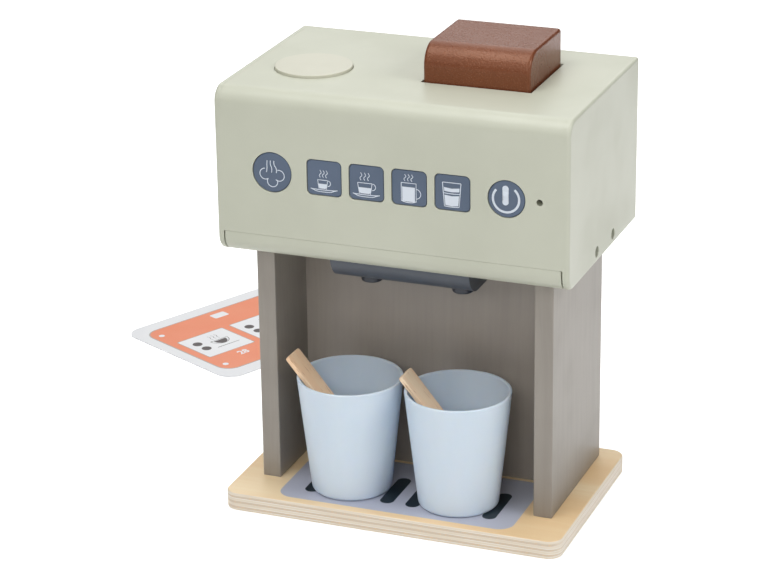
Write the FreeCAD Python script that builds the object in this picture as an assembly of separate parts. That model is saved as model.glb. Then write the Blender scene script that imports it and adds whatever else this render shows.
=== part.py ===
"""Toy coffee maker for play kitchens, with two cups, two stirrers and an order card.

Millimetres. X runs to the right as the player sees it, Y to the back and Z up.
The origin is the middle of the base board's underside.
"""
import FreeCAD, Part
import math
import os

os.makedirs("parts", exist_ok=True)

# Base board, cut from plywood
base_width = 222.0
base_depth = 142.6
base_thickness = 12.0
base_corner_radius = 9.0
base_edge_chamfer = 0.9

# Printed tray sheet, let into the base board
tray_width = 155.0
tray_depth = 71.0
tray_setback = 6.3
tray_sheet_thickness = 0.6
tray_corner_radius = 10.0
tray_slot_count = 8
tray_slot_pitch = 16.9
tray_slot_width = 9.0
tray_slot_length = 38.5
tray_slot_setback = 11.5

# Legs and the panel between them
leg_height = 158.0
leg_thickness = 12.0
leg_depth = 100.0
leg_inset = 14.5
leg_setback = 31.3
leg_edge_round = 0.8
back_panel_thickness = 6.0
back_panel_setback = 49.1
back_panel_groove_depth = 3.0
groove_clearance = 0.1

# Housing, boxed from boards
housing_width = 225.0
housing_depth = 140.0
housing_overhang = 21.0
board_thickness = 14.0
front_panel_height = 77.4
front_panel_thickness = 12.0
side_panel_thickness = 4.0
rear_panel_thickness = 4.0
housing_front_radius = 10.0
housing_edge_round = 2.2
board_seam = 0.3
seam_chamfer = 0.4

# Wooden dowels that locate the front panel
dowel_radius = 3.0
dowel_depth = 10.0
dowel_spread = 150.0

# Spout bar and its two nozzles
spout_width = 90.0
spout_height = 17.0
spout_setback = 15.0
spout_front_radius = 10.0
spout_end_round = 1.0
spout_back_gap = 0.1
nozzle_radius = 6.75
nozzle_spacing = 60.0
nozzle_setback = 46.8
nozzle_drop = 8.5
nozzle_socket_depth = 8.0
nozzle_edge_chamfer = 0.9

# Push buttons on the front: a row of square ones with a round one beside each end
button_height_on_panel = 41.0
button_gap = 0.5
button_recess = 0.2
button_travel = 2.0
button_edge_chamfer = 0.5
square_button_width = 22.0
square_button_corner = 3.0
square_button_pitch = 27.2
square_button_row_middle = -0.6
square_buttons = ("small_cup_button", "large_cup_button", "mug_button", "glass_button")
steam_button_radius = 12.5
steam_button_spacing = 33.9
power_button_radius = 11.4
power_button_spacing = 33.6
pilot_hole_radius = 2.0
pilot_hole_spacing = 20.4
retainer_lip = 2.2
retainer_thickness = 3.0
retainer_gap = 0.1
foam_pad_thickness = 6.0
foam_pad_margin = 1.5
backing_board_thickness = 6.0

# Round push button on the top
top_button_radius = 24.0
top_button_inset = 42.5
top_button_setback = 56.5
top_button_stand = 1.8
top_button_gap = 0.5
top_button_edge_chamfer = 0.9
top_retainer_radius = 27.0
top_retainer_thickness = 3.0
top_stem_radius = 5.0
top_stem_overrun = 3.0
stem_clearance = 0.08
bridge_width = 30.0
bridge_thickness = 8.0
bridge_post_width = 8.0
bridge_side_gap = 3.5
bridge_drop = 15.4
spring_radius = 8.0
spring_wire_radius = 0.6
spring_wire_sides = 4
spring_turns = 3.0
spring_seat_gap = 0.2

# Bean hopper block and the well that it stands in
hopper_width = 67.7
hopper_depth = 61.0
hopper_stand = 23.1
hopper_inset = 74.75
hopper_setback = 49.5
hopper_gap = 1.2
hopper_front_radius = 10.0
hopper_edge_round = 1.6
well_depth = 12.0
well_wall = 6.0
well_floor_thickness = 5.0

# Screws: long ones in the boards, short ones in the thin panels
screw_clearance = 0.05
hole_overrun = 1.0
long_screw_radius = 2.0
long_screw_head_radius = 4.0
long_screw_length = 32.0
short_screw_radius = 1.6
short_screw_head_radius = 3.2
short_screw_length = 20.0
side_screw_hole_radius = 3.5
side_screw_recess = 2.4
side_screw_setbacks = (56.2, 89.3)
leg_screw_inset = 20.0
spout_screw_spacing = 36.0
rear_screw_spacing = 88.0

# Cups
cup_base_radius = 25.2
cup_rim_radius = 33.5
cup_height = 75.5
cup_wall = 2.0
cup_floor = 2.5
cup_foot_chamfer = 1.5
cup_rim_chamfer = 0.6
cup_foot_recess = 0.8
cup_foot_width = 4.0
left_cup_x = -37.5
right_cup_x = 34.0
cup_setback = 25.8

# Stirrers, each leaning in a cup
stirrer_length = 87.0
stirrer_width = 16.5
stirrer_thickness = 3.0
stirrer_corner_radius = 4.0
stirrer_edge_chamfer = 0.5
stirrer_lean = 39.5
left_stirrer_offset = -6.8
right_stirrer_offset = -2.5
stirrer_clearance = 0.3

# Order card, lying on the table
card_width = 120.0
card_length = 170.0
card_thickness = 0.8
card_corner_radius = 9.0
card_centre_x = -207.7
card_centre_y = 221.3
card_turn = -26.5

# Places that follow from the sizes above
base_front = -base_depth / 2
leg_front = base_front + leg_setback
leg_top = base_thickness + leg_height
leg_outer = base_width / 2 - leg_inset
leg_inner = leg_outer - leg_thickness
back_panel_front = leg_front + back_panel_setback
housing_front = leg_front - housing_overhang
housing_back = housing_front + housing_depth
housing_bottom = leg_top
panel_bottom = housing_bottom + board_thickness
panel_top = panel_bottom + front_panel_height
housing_top = panel_top + board_thickness
housing_side = housing_width / 2
housing_inner_side = housing_side - side_panel_thickness
boards_back = housing_back - rear_panel_thickness
panel_back = housing_front + front_panel_thickness
button_z = panel_bottom + button_height_on_panel
retainer_front = panel_back + retainer_gap
foam_front = retainer_front + retainer_thickness
backing_front = foam_front + foam_pad_thickness
backing_back = backing_front + backing_board_thickness
square_row_half = (len(square_buttons) - 1) / 2 * square_button_pitch
square_row_start = square_button_row_middle - square_row_half
steam_button_x = square_row_start - steam_button_spacing
power_button_x = square_button_row_middle + square_row_half + power_button_spacing
pilot_hole_x = power_button_x + pilot_hole_spacing
spout_front = housing_front + spout_setback
spout_back = back_panel_front - spout_back_gap
spout_bottom = housing_bottom - spout_height
top_button_x = top_button_inset - housing_side
top_button_y = housing_front + top_button_setback
top_retainer_top = panel_top - retainer_gap
bridge_top = panel_top - bridge_drop
bridge_bottom = bridge_top - bridge_thickness
bridge_right = top_button_x + top_retainer_radius + bridge_side_gap + bridge_post_width
hopper_x = housing_side - hopper_inset
hopper_front = housing_front + hopper_setback
hopper_y = hopper_front + hopper_depth / 2
well_floor = panel_top - well_depth
cup_y = housing_front + cup_setback

# The six front buttons, by name: the middle's X, and the radius of a round one or None
front_buttons = {"steam_button": (steam_button_x, steam_button_radius)}
for place, square_button in enumerate(square_buttons):
    front_buttons[square_button] = (square_row_start + place * square_button_pitch, None)
front_buttons["power_button"] = (power_button_x, power_button_radius)

UP = FreeCAD.Vector(0, 0, 1)
DOWN = FreeCAD.Vector(0, 0, -1)
BACK = FreeCAD.Vector(0, 1, 0)
RIGHT = FreeCAD.Vector(1, 0, 0)
LEFT = FreeCAD.Vector(-1, 0, 0)
FORWARD = FreeCAD.Vector(0, -1, 0)


def write(node, shape):
    """Save one sub-part as its own file."""
    shape.exportStep(f"parts/{node}.step")
    print(f"{node}: {len(shape.Solids)} solid(s), {shape.Volume / 1000:.2f} cm3, valid {shape.isValid()}")


def vector(x, y, z):
    """A point or a direction."""
    return FreeCAD.Vector(x, y, z)


def block(x_range, y_range, z_range):
    """A square-edged block between three pairs of limits."""
    size = [high - low for low, high in (x_range, y_range, z_range)]
    return Part.makeBox(*size, vector(x_range[0], y_range[0], z_range[0]))


def rod(radius, length, start, direction):
    """A round rod."""
    return Part.makeCylinder(radius, length, start, direction)


def along(edge, direction):
    """Whether an edge is straight and runs along a direction."""
    if not isinstance(edge.Curve, Part.Line):
        return False
    return abs(edge.tangentAt(edge.FirstParameter).dot(direction)) > 0.999


def edges_at(shape, axis, place, tolerance=0.01):
    """The edges that lie wholly in the plane axis = place."""
    low, high = axis + "Min", axis + "Max"
    return [
        edge
        for edge in shape.Edges
        if abs(getattr(edge.BoundBox, low) - place) < tolerance
        and abs(getattr(edge.BoundBox, high) - place) < tolerance
    ]


def long_edges(shape, direction, y=None, z=None):
    """The straight edges along a direction that stand at the given Y and Z."""
    found = [edge for edge in shape.Edges if along(edge, direction)]
    if y is not None:
        found = [edge for edge in found if abs(edge.CenterOfMass.y - y) < 0.01]
    if z is not None:
        found = [edge for edge in found if abs(edge.CenterOfMass.z - z) < 0.01]
    return found


def round_corners(shape, radius, direction):
    """Round every corner edge that runs along a direction."""
    return shape.makeFillet(radius, long_edges(shape, direction))


def rounded_plate(width, length, thickness, corner_radius):
    """A plate centred on the origin with round corners, its underside at Z 0."""
    plate = block((-width / 2, width / 2), (-length / 2, length / 2), (0, thickness))
    return round_corners(plate, corner_radius, UP)


def wood_screw(point, direction, radius, head_radius, length, clearance=0.0):
    """A countersunk wood screw with the middle of its head at a point, driven along a direction."""
    head_depth = head_radius - radius
    shank, head, end = radius + clearance, head_radius + clearance, length + clearance
    outline = [
        vector(0, 0, 0),
        vector(head, 0, 0),
        vector(shank, 0, head_depth),
        vector(shank, 0, end),
        vector(0, 0, end),
        vector(0, 0, 0),
    ]
    screw = Part.Face(Part.makePolygon(outline)).revolve(vector(0, 0, 0), UP, 360)
    screw.Placement = FreeCAD.Placement(point, FreeCAD.Rotation(UP, direction))
    return screw


def long_screw(point, direction, clearance=0.0):
    """A long screw, or the hole for it where a clearance is given."""
    sizes = (long_screw_radius, long_screw_head_radius, long_screw_length)
    return wood_screw(point, direction, *sizes, clearance)


def short_screw(point, direction, clearance=0.0):
    """A short screw, or the hole for it where a clearance is given."""
    sizes = (short_screw_radius, short_screw_head_radius, short_screw_length)
    return wood_screw(point, direction, *sizes, clearance)


def leg_screw_places():
    """The middle of each long screw in the legs' ends, seen from above."""
    middle = leg_inner + leg_thickness / 2
    for x in (-middle, middle):
        for y in (leg_front + leg_screw_inset, leg_front + leg_depth - leg_screw_inset):
            yield x, y


def base_screws(clearance=0.0):
    """Screws up through the base board into the legs, heads level with its underside."""
    return [long_screw(vector(x, y, 0), UP, clearance) for x, y in leg_screw_places()]


def leg_top_screws(clearance=0.0):
    """Screws down through the housing's bottom board into the legs."""
    return [long_screw(vector(x, y, panel_bottom), DOWN, clearance) for x, y in leg_screw_places()]


def spout_screws(clearance=0.0):
    """Screws down through the housing's bottom board into the spout bar."""
    y = (spout_front + spout_back) / 2
    places = (-spout_screw_spacing / 2, spout_screw_spacing / 2)
    sizes = (short_screw_radius, short_screw_head_radius, board_thickness + spout_height / 2)
    return [wood_screw(vector(x, y, panel_bottom), DOWN, *sizes, clearance) for x in places]


def side_screws(clearance=0.0):
    """Screws through both side panels into the bottom board's ends, sunk below the surface."""
    z = housing_bottom + board_thickness / 2
    depth = housing_side - side_screw_recess
    screws = []
    for setback in side_screw_setbacks:
        y = housing_front + setback
        screws.append(short_screw(vector(depth, y, z), LEFT, clearance))
        screws.append(short_screw(vector(-depth, y, z), RIGHT, clearance))
    return screws


def side_screw_recesses():
    """The round holes in the side panels above the sunk screw heads."""
    z = housing_bottom + board_thickness / 2
    start = housing_side + hole_overrun
    depth = side_screw_recess + hole_overrun
    return [
        rod(side_screw_hole_radius, depth, vector(sign * start, housing_front + setback, z), direction)
        for sign, direction in ((1, LEFT), (-1, RIGHT))
        for setback in side_screw_setbacks
    ]


def rear_screws(clearance=0.0):
    """Screws through the rear panel into the back edges of the top and bottom boards."""
    return [
        short_screw(vector(x, housing_back, z), FORWARD, clearance)
        for x in (-rear_screw_spacing, 0, rear_screw_spacing)
        for z in (housing_bottom + board_thickness / 2, housing_top - board_thickness / 2)
    ]


def dowels(clearance=0.0):
    """Dowels that locate the front panel on the bottom board and under the top board."""
    y = housing_front + front_panel_thickness / 2
    reach = dowel_depth + clearance
    return [
        rod(dowel_radius + clearance, 2 * reach, vector(x, y, joint - reach), UP)
        for x in (-dowel_spread / 2, dowel_spread / 2)
        for joint in (panel_bottom, panel_top)
    ]


def base_board():
    """The plywood base, with its screw holes and the shallow bed of the tray sheet."""
    board = rounded_plate(base_width, base_depth, base_thickness, base_corner_radius)
    rims = edges_at(board, "Z", 0) + edges_at(board, "Z", base_thickness)
    board = board.makeChamfer(base_edge_chamfer, rims)
    return board.cut([tray_outline()] + base_screws(screw_clearance))


def tray_outline():
    """The whole body of the tray sheet, slots filled."""
    sheet = rounded_plate(tray_width, tray_depth, tray_sheet_thickness, tray_corner_radius)
    sheet.translate(vector(0, base_front + tray_setback + tray_depth / 2, base_thickness - tray_sheet_thickness))
    return sheet


def tray_slot_marks():
    """The row of dark round-ended slots, as thin inlays through the tray sheet."""
    first = -(tray_slot_count - 1) / 2 * tray_slot_pitch
    front = base_front + tray_setback + tray_slot_setback
    radius = tray_slot_width / 2
    bottom = base_thickness - tray_sheet_thickness
    ends = (front + radius, front + tray_slot_length - radius)
    marks = []
    for index in range(tray_slot_count):
        x = first + index * tray_slot_pitch
        mark = block((x - radius, x + radius), ends, (bottom, base_thickness))
        rounds = [rod(radius, tray_sheet_thickness, vector(x, y, bottom), UP) for y in ends]
        marks.append(mark.multiFuse(rounds).removeSplitter())
    return marks


def leg(side):
    """One upright leg, grooved inside for the back panel. side is 1 at the right."""
    inner, outer = sorted((side * leg_inner, side * leg_outer))
    board = block((inner, outer), (leg_front, leg_front + leg_depth), (base_thickness, leg_top))
    board = round_corners(board, leg_edge_round, UP)
    holes = base_screws(screw_clearance) + leg_top_screws(screw_clearance)
    return board.cut([back_panel(groove_clearance)] + holes)


def back_panel(clearance=0.0):
    """The thin panel between the legs, or the space cut for it where a clearance is given."""
    half = leg_inner + back_panel_groove_depth - groove_clearance + clearance
    front = back_panel_front - clearance
    back = back_panel_front + back_panel_thickness + clearance
    return block((-half, half), (front, back), (base_thickness, leg_top))


def housing_bottom_board():
    """The housing's bottom board, round along its lower front edge, with a fine seam at its ends."""
    half = housing_inner_side - board_seam
    board = block((-half, half), (housing_front, boards_back), (housing_bottom, panel_bottom))
    board = board.makeFillet(housing_front_radius, long_edges(board, RIGHT, housing_front, housing_bottom))
    board = board.makeChamfer(seam_chamfer, long_edges(board, RIGHT, housing_front, panel_bottom))
    holes = leg_top_screws(screw_clearance) + spout_screws(screw_clearance)
    holes += side_screws(screw_clearance) + rear_screws(screw_clearance) + dowels(screw_clearance)
    return board.cut(holes)


def housing_top_board():
    """The housing's top board, with the hopper's opening and the round button's hole."""
    half = housing_inner_side
    board = block((-half, half), (housing_front, boards_back), (panel_top, housing_top))
    board = board.makeFillet(housing_front_radius, long_edges(board, RIGHT, housing_front, housing_top))
    button_hole = rod(
        top_button_radius + top_button_gap, board_thickness, vector(top_button_x, top_button_y, panel_top), UP
    )
    holes = [button_hole, hopper_space(panel_top, housing_top)]
    return board.cut(holes + rear_screws(screw_clearance) + dowels(screw_clearance))


def hopper_space(bottom, top):
    """The space that the hopper block stands in, with its gap all round."""
    half = hopper_width / 2 + hopper_gap
    return block(
        (hopper_x - half, hopper_x + half),
        (hopper_front - hopper_gap, hopper_front + hopper_depth + hopper_gap),
        (bottom, top),
    )


def housing_side_panel(side):
    """A thin side panel with the housing's whole profile and softened outer edges."""
    inner, outer = sorted((side * housing_inner_side, side * housing_side))
    panel = block((inner, outer), (housing_front, housing_back), (housing_bottom, housing_top))
    front_edges = long_edges(panel, RIGHT, y=housing_front)
    panel = panel.makeFillet(housing_front_radius, front_edges)
    panel = panel.makeFillet(housing_edge_round, edges_at(panel, "X", side * housing_side))
    return panel.cut(side_screw_recesses() + side_screws(screw_clearance))


def housing_front_panel():
    """The front panel, with a hole for each button and the small pilot hole."""
    half = housing_inner_side
    panel = block((-half, half), (housing_front, panel_back), (panel_bottom, panel_top))
    holes = [button_body(x, radius, button_gap, 0, front_panel_thickness) for x, radius in front_buttons.values()]
    holes.append(rod(pilot_hole_radius, front_panel_thickness, vector(pilot_hole_x, housing_front, button_z), BACK))
    return panel.cut(holes + dowels(screw_clearance))


def housing_rear_panel():
    """The thin panel that closes the back."""
    half = housing_inner_side
    panel = block((-half, half), (boards_back, housing_back), (housing_bottom, housing_top))
    return panel.cut(rear_screws(screw_clearance))


def button_body(x, radius, margin, start, end):
    """A button's outline grown by a margin, from one depth behind the housing's front to another."""
    y = housing_front + start
    length = end - start
    if radius:
        return rod(radius + margin, length, vector(x, y, button_z), BACK)
    half = square_button_width / 2 + margin
    body = block((x - half, x + half), (y, y + length), (button_z - half, button_z + half))
    return round_corners(body, square_button_corner + margin, BACK)


def button_cap(x, radius):
    """The visible cap of a front button, softened round its face."""
    cap = button_body(x, radius, 0, button_recess, front_panel_thickness + retainer_gap)
    return cap.makeChamfer(button_edge_chamfer, edges_at(cap, "Y", housing_front + button_recess))


def button_retainer(x, radius):
    """The plate glued to a cap's back, wider than its hole, that keeps it from falling out."""
    start = retainer_front - housing_front
    return button_body(x, radius, retainer_lip, start, start + retainer_thickness)


def button_foam_pads():
    """The soft foam pads that push the front buttons back out, one behind each."""
    start = foam_front - housing_front
    return [
        button_body(x, radius, -foam_pad_margin, start, start + foam_pad_thickness)
        for x, radius in front_buttons.values()
    ]


def button_backing_board():
    """The board inside the housing that the foam pads push against."""
    half = housing_inner_side
    return block((-half, half), (backing_front, backing_back), (panel_bottom, panel_top))


def spout_bar():
    """The bar under the housing, with its round front edge and the nozzles' sockets."""
    half = spout_width / 2
    bar = block((-half, half), (spout_front, spout_back), (spout_bottom, housing_bottom))
    bar = bar.makeFillet(spout_front_radius, long_edges(bar, RIGHT, spout_front, spout_bottom))
    end_edges = [edge for side in (-half, half) for edge in edges_at(bar, "X", side)]
    end_edges = [edge for edge in end_edges if edge.BoundBox.ZMin < housing_bottom - 0.01]
    end_edges = [edge for edge in end_edges if edge.BoundBox.YMin < spout_back - 0.01]
    bar = bar.makeFillet(spout_end_round, end_edges)
    sockets = [
        rod(nozzle_radius + groove_clearance, nozzle_socket_depth, vector(x, nozzle_y(), spout_bottom), UP)
        for x in (-nozzle_spacing / 2, nozzle_spacing / 2)
    ]
    return bar.cut(sockets + spout_screws(screw_clearance))


def nozzle_y():
    """The nozzles' place from front to back."""
    return housing_front + nozzle_setback


def nozzle(side):
    """One turned nozzle, glued into its socket in the spout bar."""
    start = vector(side * nozzle_spacing / 2, nozzle_y(), spout_bottom - nozzle_drop)
    plug = rod(nozzle_radius, nozzle_drop + nozzle_socket_depth, start, UP)
    return plug.makeChamfer(nozzle_edge_chamfer, edges_at(plug, "Z", spout_bottom - nozzle_drop))


def top_button():
    """The round button's visible cap."""
    start = vector(top_button_x, top_button_y, top_retainer_top)
    cap = rod(top_button_radius, housing_top + top_button_stand - top_retainer_top, start, UP)
    return cap.makeChamfer(top_button_edge_chamfer, edges_at(cap, "Z", housing_top + top_button_stand))


def top_button_retainer():
    """The plate under the round cap, with the stem that guides it in the bridge."""
    centre = vector(top_button_x, top_button_y, top_retainer_top)
    plate = rod(top_retainer_radius, top_retainer_thickness, centre, DOWN)
    stem_length = top_retainer_top - bridge_bottom + top_stem_overrun
    return plate.fuse(rod(top_stem_radius, stem_length, centre, DOWN)).removeSplitter()


def top_button_bridge():
    """The bridge hung under the top board that carries the spring and guides the stem."""
    y_range = (top_button_y - bridge_width / 2, top_button_y + bridge_width / 2)
    whole = block((-housing_inner_side, bridge_right), y_range, (bridge_bottom, panel_top))
    inside = (-housing_inner_side + bridge_post_width, bridge_right - bridge_post_width)
    gap = block(inside, y_range, (bridge_top, panel_top))
    centre = vector(top_button_x, top_button_y, bridge_bottom)
    return whole.cut([gap, rod(top_stem_radius + stem_clearance, bridge_thickness, centre, UP)])


def top_button_spring():
    """The coil spring between the bridge and the round button's plate, wound from square wire."""
    seat = bridge_top + spring_seat_gap
    room = top_retainer_top - top_retainer_thickness - spring_seat_gap - seat
    rise = room - 2 * spring_wire_radius
    helix = Part.makeHelix(rise / spring_turns, rise, spring_radius)
    corners = []
    for corner in range(spring_wire_sides + 1):
        turn = 2 * math.pi * (corner + 0.5) / spring_wire_sides
        x = spring_radius + spring_wire_radius * math.cos(turn)
        corners.append(vector(x, 0, spring_wire_radius * math.sin(turn)))
    wire_section = Part.makePolygon(corners)
    spring = Part.Wire(helix).makePipeShell([wire_section], True, True)
    spring.translate(vector(top_button_x, top_button_y, seat + spring_wire_radius))
    return spring


def hopper_block():
    """The bean hopper: a solid block, round along its upper front edge."""
    top = housing_top + hopper_stand
    half = hopper_width / 2
    body = block(
        (hopper_x - half, hopper_x + half), (hopper_front, hopper_front + hopper_depth), (well_floor, top)
    )
    body = body.makeFillet(hopper_front_radius, long_edges(body, RIGHT, hopper_front, top))
    ends = edges_at(body, "X", hopper_x - half) + edges_at(body, "X", hopper_x + half)
    back_top = long_edges(body, RIGHT, hopper_front + hopper_depth, top)
    lower = [edge for edge in ends if edge.BoundBox.ZMax < well_floor + 0.01]
    ends = [edge for edge in ends if all(not edge.isSame(other) for other in lower)]
    return body.makeFillet(hopper_edge_round, ends + back_top)


def hopper_well_frame():
    """The frame glued under the top board that lines the hopper's well."""
    return hopper_well_outline(well_floor, panel_top).cut(hopper_space(well_floor, panel_top))


def hopper_well_floor():
    """The floor of the well, which the hopper block stands on."""
    return hopper_well_outline(well_floor - well_floor_thickness, well_floor)


def hopper_well_outline(bottom, top):
    """The well's outside, between two heights."""
    half = hopper_width / 2 + hopper_gap + well_wall
    margin = hopper_gap + well_wall
    return block(
        (hopper_x - half, hopper_x + half),
        (hopper_front - margin, hopper_front + hopper_depth + margin),
        (bottom, top),
    )


def cup_taper():
    """How much a cup's radius grows for each millimetre of height."""
    return (cup_rim_radius - cup_base_radius) / cup_height


def cup_outer_radius(height):
    """A cup's outside radius at a height above its foot."""
    return cup_base_radius + cup_taper() * height


def cup_inner_radius(height):
    """A cup's inside radius at a height above its foot."""
    return cup_outer_radius(height) - cup_wall * math.hypot(1, cup_taper())


def cup(x):
    """A tapered cup with an even wall, a softened rim and a shallow hollow under its foot."""
    hollow_radius = cup_base_radius - cup_foot_width
    shoulder = cup_height - cup_rim_chamfer
    outline = [
        vector(0, 0, cup_foot_recess),
        vector(hollow_radius, 0, cup_foot_recess),
        vector(hollow_radius, 0, 0),
        vector(cup_base_radius - cup_foot_chamfer, 0, 0),
        vector(cup_outer_radius(cup_foot_chamfer), 0, cup_foot_chamfer),
        vector(cup_outer_radius(shoulder), 0, shoulder),
        vector(cup_rim_radius - cup_rim_chamfer, 0, cup_height),
        vector(cup_inner_radius(cup_height) + cup_rim_chamfer, 0, cup_height),
        vector(cup_inner_radius(shoulder), 0, shoulder),
        vector(cup_inner_radius(cup_floor), 0, cup_floor),
        vector(0, 0, cup_floor),
        vector(0, 0, cup_foot_recess),
    ]
    body = Part.Face(Part.makePolygon(outline)).revolve(vector(0, 0, 0), UP, 360)
    body.translate(vector(x, cup_y, base_thickness))
    return body


def stirrer(cup_x, offset):
    """A flat wooden stirrer that leans on a cup's left rim and stands against its right wall."""
    lean = math.radians(stirrer_lean)
    sine, cosine = math.sin(lean), math.cos(lean)
    edge = abs(offset) + stirrer_width / 2
    # The middle of the rim's round edge, at the stirrer's farther side
    rim_x = -math.sqrt((cup_rim_radius - cup_wall / 2) ** 2 - edge**2)
    rim_z = cup_height - cup_wall / 2
    stand_off = cup_wall / 2 + stirrer_clearance
    low_x, low_z = rim_x + stand_off * cosine, rim_z + stand_off * sine
    # How far the upper face runs down from the rim before it meets the right wall
    near, far = 0.0, 2 * cup_height
    for _ in range(50):
        run = (near + far) / 2
        x = low_x + run * sine + stirrer_thickness * cosine
        z = low_z - run * cosine + stirrer_thickness * sine
        wall = math.sqrt(max(cup_inner_radius(z) ** 2 - edge**2, 0.0))
        if x + stirrer_clearance > wall:
            far = run
        else:
            near = run
    stick = rounded_plate(stirrer_width, stirrer_length, stirrer_thickness, stirrer_corner_radius)
    faces = edges_at(stick, "Z", 0) + edges_at(stick, "Z", stirrer_thickness)
    stick = stick.makeChamfer(stirrer_edge_chamfer, faces)
    stick.translate(vector(0, stirrer_length / 2, 0))
    # Stand it on its end with its width from front to back, then lean it to the left
    origin = vector(0, 0, 0)
    stick.rotate(origin, RIGHT, 90)
    stick.rotate(origin, UP, 90)
    stick.rotate(origin, BACK, -stirrer_lean)
    foot_z = base_thickness + low_z - near * cosine
    stick.translate(vector(cup_x + low_x + near * sine, cup_y + offset, foot_z))
    print(f"stirrer stands {stirrer_length - near:.1f} beyond the rim")
    return stick


def order_card():
    """The stiff order card, lying flat on the table."""
    card = rounded_plate(card_width, card_length, card_thickness, card_corner_radius)
    card.rotate(vector(0, 0, 0), UP, card_turn)
    card.translate(vector(card_centre_x, card_centre_y, 0))
    return card


def group(solids):
    """Separate solids that share one node."""
    return Part.makeCompound(solids)


def build_frame():
    """The base, the tray print, the legs and the panel between them."""
    slots = tray_slot_marks()
    write("base_board", base_board())
    write("drip_tray_sheet", tray_outline().cut(slots))
    write("drip_tray_slots", group(slots))
    write("left_leg", leg(-1))
    write("right_leg", leg(1))
    write("back_panel", back_panel())


def build_housing():
    """The boxed housing with its fasteners."""
    write("housing_bottom_board", housing_bottom_board())
    write("housing_top_board", housing_top_board())
    write("housing_front_panel", housing_front_panel())
    write("housing_rear_panel", housing_rear_panel())
    write("housing_left_side", housing_side_panel(-1))
    write("housing_right_side", housing_side_panel(1))
    write("front_panel_dowels", group(dowels()))
    write("base_screws", group(base_screws()))
    write("leg_top_screws", group(leg_top_screws()))
    write("spout_screws", group(spout_screws()))
    write("side_screws", group(side_screws()))
    write("rear_screws", group(rear_screws()))


def build_spout():
    """The spout bar and its nozzles."""
    write("spout_bar", spout_bar())
    write("left_nozzle", nozzle(-1))
    write("right_nozzle", nozzle(1))


def build_buttons():
    """The front buttons, the round top button and what carries them."""
    for name, (x, radius) in front_buttons.items():
        write(name, button_cap(x, radius))
        write(f"{name}_retainer", button_retainer(x, radius))
    write("button_foam_pads", group(button_foam_pads()))
    write("button_backing_board", button_backing_board())
    write("top_button", top_button())
    write("top_button_retainer", top_button_retainer())
    write("top_button_spring", top_button_spring())
    write("top_button_bridge", top_button_bridge())


def build_hopper():
    """The hopper block and its well."""
    write("hopper_block", hopper_block())
    write("hopper_well_frame", hopper_well_frame())
    write("hopper_well_floor", hopper_well_floor())


def build_accessories():
    """The cups, the stirrers and the order card."""
    write("left_cup", cup(left_cup_x))
    write("right_cup", cup(right_cup_x))
    write("left_stirrer", stirrer(left_cup_x, left_stirrer_offset))
    write("right_stirrer", stirrer(right_cup_x, right_stirrer_offset))
    write("order_card", order_card())


build_frame()
build_housing()
build_spout()
build_buttons()
build_hopper()
build_accessories()
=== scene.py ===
"""Looks of a toy coffee maker for play kitchens, dressed over its construction model.

Lengths are metres, in the model's own frame: X to the player's right, Y to the back, Z up.
Sizes that are easier to read in millimetres are written as a number times MM.
"""

import logging
import math
from collections.abc import Callable, Iterable, Sequence
from dataclasses import dataclass, field
from enum import Enum
from typing import ClassVar

import bmesh
import bpy
from mathutils import Matrix, Vector


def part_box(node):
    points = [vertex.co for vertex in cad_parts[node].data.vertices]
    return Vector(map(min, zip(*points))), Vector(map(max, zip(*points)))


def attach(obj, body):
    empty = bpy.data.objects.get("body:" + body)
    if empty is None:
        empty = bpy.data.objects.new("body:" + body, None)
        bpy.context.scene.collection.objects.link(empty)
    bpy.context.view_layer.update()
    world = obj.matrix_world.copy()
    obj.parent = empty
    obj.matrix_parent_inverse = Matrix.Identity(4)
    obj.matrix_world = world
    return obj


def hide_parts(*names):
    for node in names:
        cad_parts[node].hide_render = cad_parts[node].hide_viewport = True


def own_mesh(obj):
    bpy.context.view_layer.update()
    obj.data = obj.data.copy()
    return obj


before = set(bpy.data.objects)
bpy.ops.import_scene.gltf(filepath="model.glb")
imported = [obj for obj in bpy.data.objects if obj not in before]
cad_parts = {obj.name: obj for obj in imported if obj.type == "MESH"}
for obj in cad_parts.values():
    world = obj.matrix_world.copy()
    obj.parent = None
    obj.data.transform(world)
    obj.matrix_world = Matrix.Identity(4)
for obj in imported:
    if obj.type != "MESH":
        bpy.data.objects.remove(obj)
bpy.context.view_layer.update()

MM = 0.001
MACHINE = "machine"
STIRRER_LEAN = math.radians(39.5)
# How many flat strips stand for a broad round
BROAD_STEPS = 14
# How near two places are when they count as the same
SAME_PLACE = 0.02 * MM
# Each turns a flat drawing, whose Z stands off it, to face one way
FACING_PLAYER = Matrix.Rotation(math.radians(90), 4, "X")
FACING_BACK = Matrix.Rotation(math.radians(180), 4, "Z") @ FACING_PLAYER
FACING_RIGHT = Matrix.Rotation(math.radians(90), 4, "Z") @ FACING_PLAYER
FACING_LEFT = Matrix.Rotation(math.radians(-90), 4, "Z") @ FACING_PLAYER
FACING_UP = Matrix.Identity(4)
FACING_DOWN = Matrix.Rotation(math.radians(180), 4, "X")

log = logging.getLogger("toy_coffee_maker")

Colour = tuple[int, int, int]
Point = tuple[float, float]


class Slot(Enum):
    """The record's material slots, by what they are on the object."""

    BIRCH = "birch_plywood"
    TAUPE = "taupe_paint"
    SAGE = "sage_paint"
    CREAM = "cream_paint"
    BEECH = "beech"
    SCREW = "screw_steel"
    SPRING = "spring_steel"
    SLATE = "slate_paint"
    DARK = "dark_paint"
    BUTTON = "button_blue"
    BROWN = "brown_paint"
    CUP = "cup_blue"
    CARD = "card_stock"


class Grain(Enum):
    """Which way a board's grain runs."""

    ALONG_X = (0.0, 0.0, 0.0)
    ALONG_Z = (0.0, math.pi / 2, 0.0)


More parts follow.
